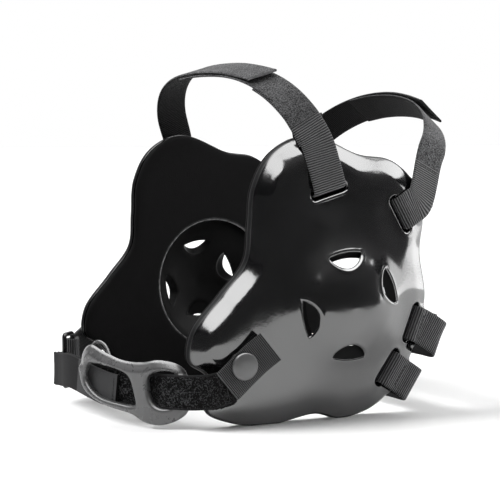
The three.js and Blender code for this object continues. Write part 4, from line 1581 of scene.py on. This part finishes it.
@dataclass
class SlotStraps:
    """The webbing straps that run through the slots: two crown pairs and two nape pairs."""

    form: PadForm
    finishes: Finishes
    width: float = 19.0
    thickness: float = 1.4
    layer_lift: float = 0.85
    end_lift: float = 1.3
    under_run: float = 46.0
    far_end: float = 6.0
    pocket_run: float = 4.0
    inner_rows: tuple = ((1, 1, 0.2), (1, -5, 0), (0, 2.6, 0), (0, 0.2, 1.2), (0, -0.5, 4))
    outer_rows: tuple = ((-0.5, -2.2), (0.5, -0.6), (2.8, 0))
    slot_last: float = 4.0
    bow_share: float = 0.55
    bow_fall: float = 0.25
    arc_stations: int = 9
    nape_bend: tuple = ((-4, 0, 0.6, -1.6), (-1, 1, 0.9, -4.6), (0, 1, 1, -9), (0.6, 1, 1, -18))
    nape_bow: float = 2.0
    nape_nap: float = 44.0
    seam_run: float = 34.0

    def build(self) -> list[Piece]:
        """Builds all eight strap halves.

        Returns:
            The finished straps.
        """
        pieces = []
        for kind in StrapKind:
            for side in Side:
                stations = self._slot_stations(side, kind)
                over = len(stations)
                if kind in CROWN_ARCS:
                    stations += self._crown_stations(side, kind, stations[0].across)
                else:
                    stations += self._nape_stations(side, kind)
                band = Band(stations, self.width, self.thickness)
                pieces.append(self._dress(band, side, kind, over))
        return pieces

    def _slot_stations(self, side: Side, kind: StrapKind) -> list[Station]:
        """Stations from the sewn return through the slot to the run over the shell.

        Args:
            side: ear of the shell.
            kind: strap.

        Returns:
            Stations in order.
        """
        slot, reach, ear = SLOTS[kind], self.form.reach[kind], EarFrame(side)
        along, across = strap_axes(slot)
        last = reach - self.slot_last
        inner = [(edge * reach + t, self.pocket_run + w) for edge, t, w in self.inner_rows]
        if side is Side.RIGHT and kind in CROWN_ARCS:
            path = [((reach - self.far_end) * share, self.pocket_run) for share in (1.0, 0.6)] + inner[2:]
        else:
            path = [(reach + slot.sewn, slot.run - slot.tuck)]
            path.append((reach + slot.sewn / 2, (slot.run - slot.tuck + self.pocket_run) / 2))
            path += inner
        path += [(t, slot.run + w) for t, w in self.outer_rows]
        path.append((last * self.bow_share, slot.run - slot.fall * self.bow_fall))
        path.append((last, slot.run - slot.fall))
        direction = ear.vector(across[0], across[1], 0)
        return [
            Station(ear.points(np.array([slot.u + along[0] * t, slot.v + along[1] * t, w])), direction)
            for t, w in path
        ]

    def _crown_stations(self, side: Side, kind: StrapKind, like: Array) -> list[Station]:
        """Stations of a crown strap over the head.

        Args:
            side: ear that the half starts from.
            kind: strap.
            like: direction across the strap at its slot.

        Returns:
            Stations in order.
        """
        arc = CROWN_ARCS[kind]
        twist, lean = math.radians(arc.twist), math.radians(arc.lean)
        across = np.array([0.0, math.cos(twist), math.sin(twist)])
        across = across if across @ like > 0 else -across
        lift = -self.layer_lift if side is Side.LEFT else self.layer_lift
        end = arc.left_end if side is Side.LEFT else arc.right_end
        stations = []
        for share in np.linspace(0, 1, self.arc_stations):
            angle = math.radians(arc.start_angle + (end - arc.start_angle) * share)
            reach = math.copysign(abs(math.cos(angle)) ** (2 / arc.power), math.cos(angle))
            raised = lift + self.end_lift * float(smoothstep(0.86, 1.0, share)) * (side is Side.RIGHT)
            climb = math.sin(angle) ** (2 / arc.power) * (arc.rise + raised)
            bow = arc.right_bow * (1 - share) ** 2 if side is Side.RIGHT else 0.0
            x = arc.middle + side.value * reach * (arc.half_span + raised)
            y = EarFrame.Y + arc.base_u + bow - climb * math.tan(lean)
            stations.append(Station(np.array([x, y, EarFrame.HEIGHT + arc.base + climb]), across))
        return stations

    def _nape_stations(self, side: Side, kind: StrapKind) -> list[Station]:
        """Stations of a nape strap round behind the head.

        Args:
            side: ear that the half starts from.
            kind: strap.

        Returns:
            Stations in order.
        """
        slot, nape, ear = SLOTS[kind], NAPE_RUNS[kind], EarFrame(side)
        along, across = strap_axes(slot)
        direction = ear.vector(across[0], across[1], 0)
        lift = -self.layer_lift if side is Side.LEFT else self.layer_lift
        stations = []
        for t, lifted, fall, w in self.nape_bend:
            reach = self.form.reach[kind] + nape.straight + t + lifted * lift
            v = slot.v + along[1] * reach - fall * nape.drop
            stations.append(Station(ear.points(np.array([slot.u + along[0] * reach, v, slot.run + w])), direction))
        last = stations[-1].at
        level = unit(np.array([0.0, direction[1], direction[2]]))
        for share in (0.5, 0.0, -nape.overlap / last[0] * side.value):
            y = last[1] + self.nape_bow * (1 - abs(share))
            stations.append(Station(np.array([last[0] * share, y, last[2]]), level))
        return stations

    def _dress(self, band: Band, side: Side, kind: StrapKind, over: int) -> Piece:
        """Makes one strap with its nap and stitches.

        Args:
            band: the strap's band.
            side: ear that it starts from.
            kind: strap.
            over: number of stations up to where the strap leaves the shell.

        Returns:
            The finished strap.
        """
        parts = MeshParts()
        leaves, inside = band.along_of(over - 1), band.along_of(over - 6)
        ear = EarFrame(side)
        row = int(np.searchsorted(band.along, leaves - 3))
        face = 1 if band.normal[row] @ ear.axes[2] > 0 else -1
        half = self.width / 2
        nap = leaves + CROWN_ARCS[kind].nap if kind in CROWN_ARCS else band.length - self.nape_nap
        # TRIM on the hidden return and on the head side: the darker webbing of painted shade
        band.mesh(parts, [
            (0, inside, 0, Cloth.TRIM), (nap, band.length + 1, face, Cloth.NAP),
            (leaves, band.length + 1, -face, Cloth.TRIM),
        ])
        if kind in CROWN_ARCS:
            band.sew(parts, [(nap - 1, -half + 3), (nap - 1, half - 3)], face, Cloth.THREAD, 1.7, 1.5)
            for edge in (-half + 2.6, half - 2.6):
                band.sew(parts, [(nap, edge), (nap + self.seam_run, edge)], face, Cloth.THREAD)
            if kind is StrapKind.FRONT_CROWN and side is Side.LEFT:
                under = [band.point(leaves + share * self.under_run, 0.0, -face * (self.thickness + 0.15))
                         for share in np.linspace(0.05, 1.0, 9)]
                Band([Station(at, across) for at, _, across, _ in under], self.width, 1.2).mesh(parts, [])
        else:
            start, end, edge = leaves - 1.5, leaves + 4.0, half - 3.2
            corners = [(start, -edge), (start, edge), (end, edge), (end, -edge), (start, -edge)]
            band.sew(parts, corners, face, Cloth.THREAD, 1.9, 1.6)
        finishes = [self.finishes.webbing, self.finishes.brushed, self.finishes.thread, self.finishes.shaded_underside]
        node = f"{kind.value}_{side.word}"
        piece = parts.build(f"woven_{node}", finishes, 50.0)
        return seat(piece, node)


@dataclass
class ChinGear:
    """Chin strap with its tabs, snaps, ring and moulded cup."""

    finishes: Finishes
    snap_u: float = -60.5
    snap_v: float = -28.2
    snap_seat: float = 10.9
    cap_radius: float = 7.2
    post_radius: float = 2.6
    socket_radius: float = 5.0
    gap: float = 0.3
    tab_width: float = 19.0
    tab_thickness: float = 2.0
    tab_height: float = 14.6
    tab_layers: tuple = ((0.53, 0.0), (-0.53, 1.1))
    tab_lifts: tuple = ((0.0, 2.4), (0.18, 1.0), (0.34, 0.0), (1.0, 0.0))
    left_tab: tuple = (-46.5, -18.5, -69.6, -38.0)
    right_tab: tuple = (-44.0, -26.6, -73.0, -28.2)
    ring_at: tuple = (-55.5, -84.9, 23.0)
    ring_turn: float = 48.0
    ring_wide: float = 13.0
    ring_tall: float = 32.0
    ring_bar: float = 2.6
    ring_sag: float = 4.1
    tab_rise: float = 2.0
    ring_corner: float = 3.0
    chin_width: float = 18.0
    chin_thickness: float = 1.5
    chin_start: tuple = (-67.6, -38.5, 12.3)
    chin_route: tuple = (
        (73, -61.9, 20.8), (66, -70.9, 19.8), (50, -80.4, 19.4), (35, -87.9, 19.4), (20, -94.4, 20.2),
        (4, -99.9, 22), (-14, -101.15, 23.4), (-33, -97.45, 21.2),
    )
    chin_join: float = 11.5
    chin_return: float = 84.0
    return_sag: float = 2.8
    sag_from: float = 52.0
    tape_run: float = 30.0
    run_stations: int = 26
    return_stations: int = 10
    fine_columns: int = 31
    pile_curls: tuple = ((1.15, 0.34), (2.4, 0.16))
    pile_floor: float = -0.2
    cup_thickness: float = 4.0
    cup_voxel: float = 0.36
    cup_middle: float = 0.345
    cup_steps: tuple = (0.0, 0.15, 0.4, 0.8, 1.3, 1.9)
    cup_points: int = 190
    window_points: int = 96
    cup_clear: float = 0.6
    cup_grid_mm: float = 1.1
    cup_front_round: float = 1.7
    cup_back_round: float = 0.9
    cup_slant: float = 2.0
    cup_slant_run: float = 5.2
    cup_slant_from: tuple = (6.0, 9.5)
    cup_least: float = 1.1
    cup_outline: tuple = (
        (-36.5, 3), (-33, -5), (-22, -9.6), (-8, -11.6), (-1, -12.8), (6, -16.2), (16, -17.2), (26.5, -10.5),
        (28.5, 1), (23, 12.5), (13, 16), (4, 14.6), (-8, 14.6), (-20.5, 17.2), (-31, 19.2), (-36.5, 13),
    )
    cup_windows: tuple = (
        ((-31.8, 0), (-30.8, 9), (-24, 10.6), (-12, 9.9), (-3.6, 7), (0.2, -3), (0.8, -7.4), (-11, -7.7),
         (-25, -5.6)),
        ((8, 7.4), (8, 1), (9.6, -4.5), (13, -8.2), (18.4, -8.6), (23, -4), (23.8, 3.6), (19.6, 9.8), (13, 10.4)),
    )
    cup_rib: tuple = ((-35.5, 10, -2), (-33, 16.5, -3.4), (-28.5, 21, -4.2), (-23.5, 20, -4.4), (-18.5, 14, -3.4))
    cup_offsets: tuple = ((-40, 5.4), (-12, 5.0), (6, 3.7), (25, -4.6))

    def __post_init__(self) -> None:
        """Finds the ring's directions and the chin strap's run."""
        turn = math.radians(self.ring_turn)
        self.ring_along = np.array([math.cos(turn), -math.sin(turn), 0.0])
        self.ring_out = np.array([-math.sin(turn), -math.cos(turn), 0.0])
        self.ring_half = self.ring_wide / 2 - self.ring_bar / 2
        corner = self.ring_bar * math.sqrt(2) / 2
        self.tab_fold = corner + self.tab_thickness / 2 + self.gap
        self.chin_fold = corner + self.chin_thickness / 2 + self.gap
        start = EarFrame(Side.LEFT).points(np.array(self.chin_start))
        nears = [
            self._by_ring(self.ring_half + a, o, s * self.ring_sag)
            for a, o, s in ((10, -1, 0.6), (4, -2, 1), (0, -self.chin_fold, 1))
        ]
        self.run = Spline(np.array([start, *np.array(self.chin_route, float), *nears]))

    def build(self) -> list[Piece]:
        """Builds the chin pieces.

        Returns:
            The finished pieces.
        """
        pieces = [self._tab_left(), self._tab_right(), self._strap(), self._ring(), self._cup()]
        pieces += [self._snap(side) for side in Side]
        return pieces

    def _by_ring(self, along: float, out: float, drop: float = 0.0) -> Array:
        """Point beside the ring's middle."""
        return np.array(self.ring_at) + self.ring_along * along + self.ring_out * out - UP * drop

    def _bar_turn(self, bar: float, fold: float, first: int, across: Array, drop: float = 0.0) -> list[Station]:
        """Stations of a half turn round a bar of the ring and through its window.

        Args:
            bar: place of the bar along the ring.
            fold: radius of the turn.
            first: face that the turn starts on, 1 outside or -1 inside.
            across: direction across the band.
            drop: how far the band lies below the ring's middle.

        Returns:
            Stations in order.
        """
        stations = []
        for degrees in (90, 45, 0, -45, -90):
            angle = math.radians(degrees)
            along = bar - math.copysign(fold * math.cos(angle), bar)
            stations.append(Station(self._by_ring(along, first * fold * math.sin(angle), drop), across))
        return stations

    def _tab_stations(self, side: Side, tab: tuple) -> list[Station]:
        """Stations along the flat stretch of a tab.

        Args:
            side: ear of the tab.
            tab: start and end in the shell's plane.

        Returns:
            Stations in order.
        """
        ear = EarFrame(side)
        start, end = np.array(tab[:2]), np.array(tab[2:])
        heading = unit(end - start)
        across = ear.vector(heading[1], -heading[0], 0)
        return [
            Station(ear.points(np.array([*(start + (end - start) * share), self.tab_height + lift])), across)
            for share, lift in self.tab_lifts
        ]

    def _pierce(self, piece: Piece, side: Side) -> None:
        """Cuts the hole for the snap's post with a boolean.

        Args:
            piece: tab to cut.
            side: ear of the tab.
        """
        bpy.ops.mesh.primitive_cylinder_add(vertices=28, radius=(self.post_radius + 0.4) * MM, depth=8 * MM)
        cutter = bpy.context.object
        cutter.data.transform(EarFrame(side).stand(self.snap_u, self.snap_v, self.tab_height))
        only(piece)
        cut = piece.modifiers.new("post_hole", "BOOLEAN")
        cut.operation, cut.solver, cut.object = "DIFFERENCE", "EXACT", cutter
        bpy.ops.object.modifier_apply(modifier=cut.name)
        bpy.data.objects.remove(cutter, do_unlink=True)

    def _tab_left(self) -> Piece:
        """Left tab: a doubled piece of webbing with a sewn front end.

        Returns:
            The finished tab.
        """
        stations, out = self._tab_stations(Side.LEFT, self.left_tab), EarFrame(Side.LEFT).axes[2]
        layers = [
            Band([Station(at + out * lift - across * shift, across) for at, across in stations],
                 self.tab_width - shift, self.tab_thickness / 2 - 0.06, 0.7)
            for lift, shift in self.tab_layers
        ]
        return self._dress_tab(layers, Side.LEFT)

    def _tab_right(self) -> Piece:
        """Right tab: from behind its snap to the ring and back.

        Returns:
            The finished tab.
        """
        stations = self._tab_stations(Side.RIGHT, self.right_tab)
        upright = np.array([0.0, 0.0, math.copysign(1.0, stations[0].across[2])])
        bar, rise = -self.ring_half, -self.tab_rise
        stations.append(Station(self._by_ring(bar - 9, self.tab_fold + 0.4, rise), upright))
        stations += self._bar_turn(bar, self.tab_fold, 1, upright, rise)
        under = self.tab_fold - self.tab_thickness - self.gap
        for along, out in ((bar - 5, -0.8), (bar - 9, under)):
            stations.append(Station(self._by_ring(along, out, rise), upright))
        return self._dress_tab([Band(stations, self.tab_width, self.tab_thickness, 0.7)], Side.RIGHT)

    def _dress_tab(self, layers: list[Band], side: Side) -> Piece:
        """Makes a tab with its stitches and its hole.

        Args:
            layers: the tab's bands, the outer one first.
            side: ear of the tab.

        Returns:
            The finished tab.
        """
        parts, band = MeshParts(), layers[0]
        for layer in layers:
            layer.mesh(parts, [])
        face = 1 if band.normal[4] @ EarFrame(side).axes[2] > 0 else -1
        half = self.tab_width / 2
        band.sew(parts, [(2.2, -half + 2.5), (2.2, half - 2.5)], face, 1, 1.8, 1.5)
        piece = parts.build(f"woven_chin_tab_{side.word}", [self.finishes.tab, self.finishes.thread], 50.0)
        self._pierce(piece, side)
        return seat(piece, f"chin_tab_{side.word}")

    def _outward(self, shares: Array) -> Array:
        """Horizontal directions out of the chin strap's loop."""
        tangent = self.run.tangent(shares)
        return unit(np.stack([-tangent[:, 1], tangent[:, 0], np.zeros(len(tangent))], axis=1))

    def _strap(self) -> Piece:
        """Chin strap: pile run, fold round the ring and smooth return layer.

        Returns:
            The finished strap.
        """
        shares = self.run.share_at(np.arange(self.run_stations) / self.run_stations)
        stations = [Station(point, UP) for point in self.run.at(shares)]
        stations += self._bar_turn(self.ring_half, self.chin_fold, -1, UP, self.ring_sag)
        turned = len(stations)
        stations.append(Station(self._by_ring(self.ring_half + 5, 1.9, self.ring_sag), UP))
        spread = self.chin_thickness + self.gap
        for back in np.linspace(self.chin_join, self.chin_return, self.return_stations):
            share = self.run.share_at(np.array([1 - back / self.run.length]))
            at = self.run.at(share)[0] + self._outward(share)[0] * spread
            sag = self.return_sag * float(smoothstep(self.sag_from, self.chin_return, back))
            stations.append(Station(at - UP * sag, UP))
        middle = np.round(np.linspace(-0.83, 0.83, self.fine_columns), 4)
        fine = (-1.0, -0.985, -0.94, -0.88, *middle, 0.88, 0.94, 0.985, 1.0)
        depths = (0.12, 0.66, 0.97, 1.0, *(0.94,) * self.fine_columns, 1.0, 0.97, 0.66, 0.12)
        band = Band(stations, self.chin_width, self.chin_thickness, 0.55, fine, depths)
        parts = MeshParts()
        pile_end, tape = band.along_of(turned - 5) - 4, band.length - self.tape_run
        band.mesh(parts, [(0.0, pile_end, -1, Cloth.NAP), (tape, band.length + 1, 0, Cloth.TRIM)])
        wide = 2 * len(fine)
        parts.finishes = [
            Cloth.WEAVE if finish == Cloth.NAP and not len(fine) + 3 <= number % wide < wide - 4 else finish
            for number, finish in enumerate(parts.finishes)
        ]
        self._raise_pile(parts, band, len(fine), pile_end)
        band.sew(parts, [(1.4, -7.5), (1.4, 7.5)], -1, Cloth.THREAD, 1.7, 1.5)
        end = band.length - 2.2
        band.sew(parts, [(end, -7.2), (end, 7.2)], 1, Cloth.THREAD, 1.7, 1.5)
        finishes = [self.finishes.bend, self.finishes.pile, self.finishes.thread, self.finishes.tape]
        piece = parts.build("pile_chin_strap", finishes, 80.0)
        return seat(piece, "chin_strap")

    def _raise_pile(self, parts: MeshParts, band: Band, columns: int, end: float) -> None:
        """Lifts the loops of the pile on the run's outer face.

        Args:
            parts: piece that holds the band alone.
            band: the strap's band.
            columns: points across one face.
            end: distance along the strap where the pile ends.
        """
        points = parts.points[0].reshape(len(band.middle), 2 * columns, 3)
        for row in range(len(band.middle)):
            fade = float(smoothstep(end, end - 3, band.along[row])) * float(band.along[row] > 1)
            for column in range(columns + 4, 2 * columns - 4):
                point = points[row, column]
                curl = sum(noise.noise(Vector(point) * scale) * size for scale, size in self.pile_curls)
                points[row, column] = point - band.normal[row] * fade * max(curl, self.pile_floor)
        parts.points[0] = points.reshape(-1, 3)

    def _ring(self) -> Piece:
        """Rectangular ring: a torus drawn out to a rounded rectangle.

        Returns:
            The finished ring.
        """
        corner, segments = self.ring_corner - self.ring_bar / 2, 44
        bpy.ops.mesh.primitive_torus_add(
            major_segments=segments, minor_segments=18, major_radius=corner * MM,
            minor_radius=self.ring_bar / 2 * MM)
        piece = bpy.context.object
        piece.name = "wire_chin_ring"
        mesh = piece.data
        mesh.transform(Matrix.Rotation(math.pi / segments, 4, "Z"))
        reach = Vector((self.ring_wide / 2 - self.ring_corner, self.ring_tall / 2 - self.ring_corner, 0)) * MM
        for sign_x in (-1, 1):
            for sign_y in (-1, 1):
                bpy.ops.object.mode_set(mode="EDIT")
                bpy.ops.mesh.select_all(action="DESELECT")
                bpy.ops.object.mode_set(mode="OBJECT")
                for vertex in mesh.vertices:
                    moved = abs(vertex.co.x) > corner * 3 * MM or abs(vertex.co.y) > corner * 3 * MM
                    vertex.select = vertex.co.x * sign_x > 0 and vertex.co.y * sign_y > 0 and not moved
                bpy.ops.object.mode_set(mode="EDIT")
                bpy.ops.transform.translate(value=(reach.x * sign_x, reach.y * sign_y, 0))
                bpy.ops.object.mode_set(mode="OBJECT")
        place = Matrix.Identity(4)
        for column, axis in enumerate((self.ring_along, UP, self.ring_out)):
            for row in range(3):
                place[row][column] = axis[row]
        place.translation = Vector(np.array(self.ring_at) * MM)
        mesh.transform(place)
        mesh.materials.append(self.finishes.wire)
        only(piece)
        bpy.ops.object.shade_smooth()
        return seat(piece, "chin_ring")

    def _snap(self, side: Side) -> Piece:
        """Press snap: socket, post and rimmed cap, drawn up from one disc.

        Args:
            side: ear of the snap.

        Returns:
            The finished snap.
        """
        under = self.tab_height - self.tab_thickness / 2 - self.gap
        top = self.tab_height + self.tab_thickness / 2 + self.gap
        socket, cap = self.socket_radius, self.cap_radius
        rows = (
            (socket - 0.4, self.snap_seat), (socket, self.snap_seat + 0.4), (socket, under - 0.3),
            (socket - 0.3, under), (self.post_radius, under), (self.post_radius, top), (cap - 0.35, top),
            (cap, top + 0.3), (cap, top + 0.75), (cap - 0.12, top + 1.1), (cap - 0.4, top + 1.42),
            (cap - 0.8, top + 1.6), (cap - 1.05, top + 1.55), (cap - 1.3, top + 1.62),
            (cap * 0.6, top + 1.95), (cap * 0.3, top + 2.1),
        )
        bpy.ops.mesh.primitive_circle_add(vertices=64, radius=rows[0][0] * MM, fill_type="NGON")
        piece = bpy.context.object
        piece.name = f"press_snap_{side.word}"
        bpy.ops.object.mode_set(mode="EDIT")
        bpy.ops.mesh.select_all(action="SELECT")
        bpy.ops.transform.translate(value=(0, 0, rows[0][1] * MM))
        radius, height = rows[0]
        for next_radius, next_height in rows[1:]:
            bpy.ops.mesh.extrude_region_move(
                TRANSFORM_OT_translate={"value": (0, 0, (next_height - height) * MM)})
            share = next_radius / radius
            bpy.ops.transform.resize(value=(share, share, 1.0))
            radius, height = next_radius, next_height
        bpy.ops.mesh.select_all(action="SELECT")
        bpy.ops.mesh.normals_make_consistent(inside=False)
        bpy.ops.object.mode_set(mode="OBJECT")
        piece.data.transform(EarFrame(side).stand(self.snap_u, self.snap_v, 0.0))
        piece.data.materials.append(self.finishes.cap)
        only(piece)
        bpy.ops.object.shade_smooth_by_angle(angle=math.radians(38))
        return seat(piece, f"chin_snap_{side.word}")

    def _cup_place(self, flat: Array, out: Array) -> Array:
        """Points of the cup bent along the chin strap.

        Args:
            flat: places along the strap and above its middle.
            out: distance out from the cup's own middle face.

        Returns:
            Points in the guard.
        """
        part = self.cup_middle - flat[:, 0] / self.run.length
        shares = self.run.share_at(part)
        offsets = smooth_table(flat[:, 0], *zip(*self.cup_offsets))
        points = self.run.at(shares) + self._outward(shares) * (offsets + out)[:, None]
        points[:, 2] += flat[:, 1]
        return points

    def _cup(self) -> Piece:
        """Chin cup: a frame with two windows, softly rounded, with a slanted top face.

        Returns:
            The finished cup.
        """
        outer = even_loop(self.cup_outline, self.cup_points)
        windows = [even_loop(rows, self.window_points) for rows in self.cup_windows]
        windows = [loop if self._turns_left(loop) else loop[::-1] for loop in windows]
        half, steps = self.cup_thickness / 2, self.cup_steps
        clear = steps[-1] + self.cup_clear

        def rest(flat: Array) -> Array:
            """Distance to the nearest edge of the frame."""
            return np.min([edge_distance(flat, loop) for loop in (outer, *windows)], axis=0)

        def front(flat: Array) -> Array:
            """Height of the front face: rounded to every edge and slanted back along the top.

            Args:
                flat: places on the face.

            Returns:
                Height at each place.
            """
            top = smoothstep(*self.cup_slant_from, flat[:, 1])
            slant = top * (1 - smoothstep(0.0, self.cup_slant_run, edge_distance(flat, outer))) * self.cup_slant
            drop = edge_drop(rest(flat), self.cup_front_round)
            return half - np.minimum(drop + slant, 2 * half - self.cup_least)

        def back(flat: Array) -> Array:
            """Height of the back face, with small round edges."""
            return edge_drop(rest(flat), self.cup_back_round) - half

        parts, loops = MeshParts(), []
        for height in (front, back):
            patch, first = Patch(), []
            for loop, inward in [(outer, -1)] + [(window, 1) for window in windows]:
                for number, step in enumerate(steps):
                    flat = loop_offset(loop, inward * step)
                    ring = patch.add(np.column_stack([flat, height(flat)]), number == 0)
                    if number == 0:
                        first.append(ring)
            loose = spread_grid((-38.0, -19.0), (30.0, 21.0), self.cup_grid_mm)
            loose = loose[inside_loop(loose, outer) & (rest(loose) > clear)]
            for window in windows:
                loose = loose[~inside_loop(loose, window)]
            patch.add(np.column_stack([loose, height(loose)]), False)
            corners = patch.triangles(outer, windows)
            points = patch.points
            start = parts.add(self._cup_place(points[:, :2], points[:, 2]), [tuple(c) for c in corners], 0)
            loops.append([ring + start for ring in first])
        for ring, under in zip(*loops):
            parts.faces += bridge([ring, under])
            parts.finishes += [0] * len(ring)
        self._rib(parts)
        piece = parts.build("moulded_chin_cup", [self.finishes.moulded], 60.0)
        piece.data.remesh_voxel_size = self.cup_voxel * MM
        bpy.ops.object.voxel_remesh()
        soft = piece.modifiers.new("soft_edges", "SMOOTH")
        soft.factor, soft.iterations = 0.5, 5
        bpy.ops.object.modifier_apply(modifier=soft.name)
        bpy.ops.object.shade_smooth()
        return seat(piece, "chin_cup")

    def _rib(self, parts: MeshParts, radius: float = 0.85, sides: int = 10) -> None:
        """Adds the thin round rib behind the cup's upper corner.

        Args:
            parts: piece to add to.
            radius: half its thickness.
            sides: points round it.
        """
        rows = np.array(self.cup_rib, float)
        curve = Spline(self._cup_place(rows[:, :2], rows[:, 2]))
        shares = curve.share_at(np.linspace(0, 1, 25))
        ahead = unit(curve.tangent(shares))
        over = unit(np.cross(ahead, np.array([0.5, -0.86, 0.1])))
        turn = np.linspace(0, 2 * math.pi, sides, endpoint=False)[None, :, None]
        round_it = over[:, None] * np.cos(turn) + np.cross(over, ahead)[:, None] * np.sin(turn)
        points = curve.at(shares)[:, None] + radius * round_it
        parts.add(points.reshape(-1, 3), tube(len(shares), sides), 0)

    def _turns_left(self, loop: Array) -> bool:
        """True for a counter-clockwise loop."""
        after = np.roll(loop, -1, axis=0)
        return float(np.sum(loop[:, 0] * after[:, 1] - loop[:, 1] * after[:, 0])) > 0


@dataclass
class Studio:
    """Pale floor, soft studio light and the camera at the photograph's angle."""

    target: tuple = (0.0, 2.14, 85.68)
    distance: float = 899.34
    azimuth: float = 60.088
    elevation: float = 4.131
    lens: float = 115.2

    def build(self) -> None:
        """Builds floor, lights, surroundings and camera."""
        self._floor()
        self._light("overhead_light", (-0.2, 0.1, 1.0), 58.0, 0.5)
        self._light("key_light", (-0.35, -0.8, 0.72), 36.0, 5.4, False)
        self._light("fill_light", (0.2, 0.97, 0.03), 30.0, 9.5, False)
        self._panel("overhead_panel", (0, 0, 1250), (0, 0, 80), (1.5, 1.7), 48.0)
        self._panel("side_panel", (870, 75, 830), (60, 75, 90), (1.25, 0.75), 14.6)
        self._panel("corner_panel", (350, 963, 800), (70, 20, 130), (0.9, 0.5), 7.0)
        self._panel("rear_panel", (340, 860, 130), (60, 40, 90), (0.9, 0.26), 2.2)
        self._flag("rear_flag", -0.08, 0.5, 0.4)
        self._flag("front_flag", -1.2, -0.08, 0.16)
        self._surroundings()
        self._camera()

    def _floor(self) -> None:
        """Wide plain floor."""
        bpy.ops.mesh.primitive_plane_add(size=30.0)
        floor = bpy.context.object
        floor.name = "studio_floor"
        floor.data.materials.append(StageFinish().make())

    def _light(self, name: str, source: tuple, width: float, strength: float, glossy: bool = True) -> None:
        """Broad even light from far away.

        Args:
            name: name of the light.
            source: direction that the light comes from.
            width: how wide the source looks, in degrees.
            strength: light on a face that looks at the source.
            glossy: False to keep the source out of glossy skins.
        """
        bpy.ops.object.light_add(type="SUN", location=(0.0, 0.0, 2.0))
        lamp = bpy.context.object
        lamp.name = name
        lamp.data.angle, lamp.data.energy = math.radians(width), strength
        lamp.visible_glossy = glossy
        lamp.rotation_euler = Vector(source).to_track_quat("Z", "Y").to_euler()

    def _panel(self, name: str, at: tuple, towards: tuple, size: tuple, watts: float) -> None:
        """Soft panel that shows in glossy skins only.

        Args:
            name: name of the panel.
            at: place in millimetres.
            towards: place that it faces.
            size: width and height in metres.
            watts: power.
        """
        bpy.ops.object.light_add(type="AREA", location=Vector(at) * MM)
        lamp = bpy.context.object
        lamp.name = name
        lamp.data.shape, lamp.data.size, lamp.data.size_y = "RECTANGLE", size[0], size[1]
        lamp.data.energy = watts
        lamp.visible_diffuse = lamp.visible_camera = False
        lamp.rotation_euler = (Vector(towards) - Vector(at)).to_track_quat("-Z", "Y").to_euler()

    def _flag(self, name: str, start: float, end: float, height: float) -> None:
        """Low black flag beside the near shell, seen in glossy skins only.

        Args:
            name: name of the flag.
            start: its front end along Y, in metres.
            end: its rear end along Y.
            height: its height over the floor.
        """
        bpy.ops.mesh.primitive_plane_add(size=1.0)
        flag = bpy.context.object
        flag.name = name
        flag.data.transform(Matrix.Translation((0.38, (start + end) / 2, height / 2))
                            @ Matrix.Rotation(math.pi / 2, 4, "Y") @ Matrix.Diagonal((height, end - start, 1.0, 1.0)))
        flag.data.materials.append(StageFinish("studio_black", (0.002, 0.002, 0.002), (0.003, 0.003, 0.003)).make())
        flag.visible_camera = flag.visible_diffuse = flag.visible_shadow = flag.visible_transmission = False

    def _surroundings(self) -> None:
        """White towards the backdrop, dark to the sides, and pale where the camera looks past the object."""
        world = bpy.data.worlds.new("studio")
        bpy.context.scene.world = world
        tree, angle = NodeTree(world), math.radians(self.azimuth)
        tree.nodes.clear()
        place = tree.add("ShaderNodeTexCoord", {}).outputs["Generated"]
        backdrop = (-math.sin(angle), math.cos(angle), 0.0)
        facing = tree.add("ShaderNodeVectorMath", {0: place, 1: backdrop}, operation="DOT_PRODUCT")
        fade = tree.add(
            "ShaderNodeMapRange", {0: facing.outputs["Value"], 1: 0.15, 2: 0.8, 3: 0.012, 4: 1.8},
            interpolation_type="SMOOTHSTEP")
        studio = tree.add("ShaderNodeBackground", {"Strength": fade.outputs[0]})
        pale = tree.add("ShaderNodeBackground", {"Color": (1.0, 1.0, 1.0, 1.0), "Strength": 1.0})
        seen = tree.add("ShaderNodeLightPath", {}).outputs["Is Camera Ray"]
        mix = tree.add("ShaderNodeMixShader", {0: seen, 1: studio.outputs[0], 2: pale.outputs[0]})
        tree.add("ShaderNodeOutputWorld", {0: mix.outputs[0]})
        bpy.context.scene.view_settings.view_transform = "Standard"

    def _camera(self) -> None:
        """Camera at the photograph's angle and distance."""
        a, e = math.radians(self.azimuth), math.radians(self.elevation)
        back = Vector((math.sin(a) * math.cos(e), -math.cos(a) * math.cos(e), math.sin(e)))
        bpy.ops.object.camera_add(location=(Vector(self.target) + back * self.distance) * MM)
        camera = bpy.context.object
        camera.rotation_euler = back.to_track_quat("Z", "Y").to_euler()
        camera.data.lens, camera.data.sensor_width = self.lens, 36.0
        camera.data.clip_start, camera.data.clip_end = 0.01, 100.0
        bpy.context.scene.camera = camera


def main() -> None:
    """Builds the guard and its studio."""
    logging.basicConfig(level=logging.INFO, format="%(name)s: %(message)s")
    finishes, form = Finishes(), PadForm()
    pieces = EarShells(form, finishes).build()
    pieces += Liners(form, finishes).build()
    pieces += SlotStraps(form, finishes).build()
    pieces += ChinGear(finishes).build()
    Studio().build()
    LOG.info("%d pieces for %d CAD nodes", len(pieces), len(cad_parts))


if __name__ == "__main__":
    main()
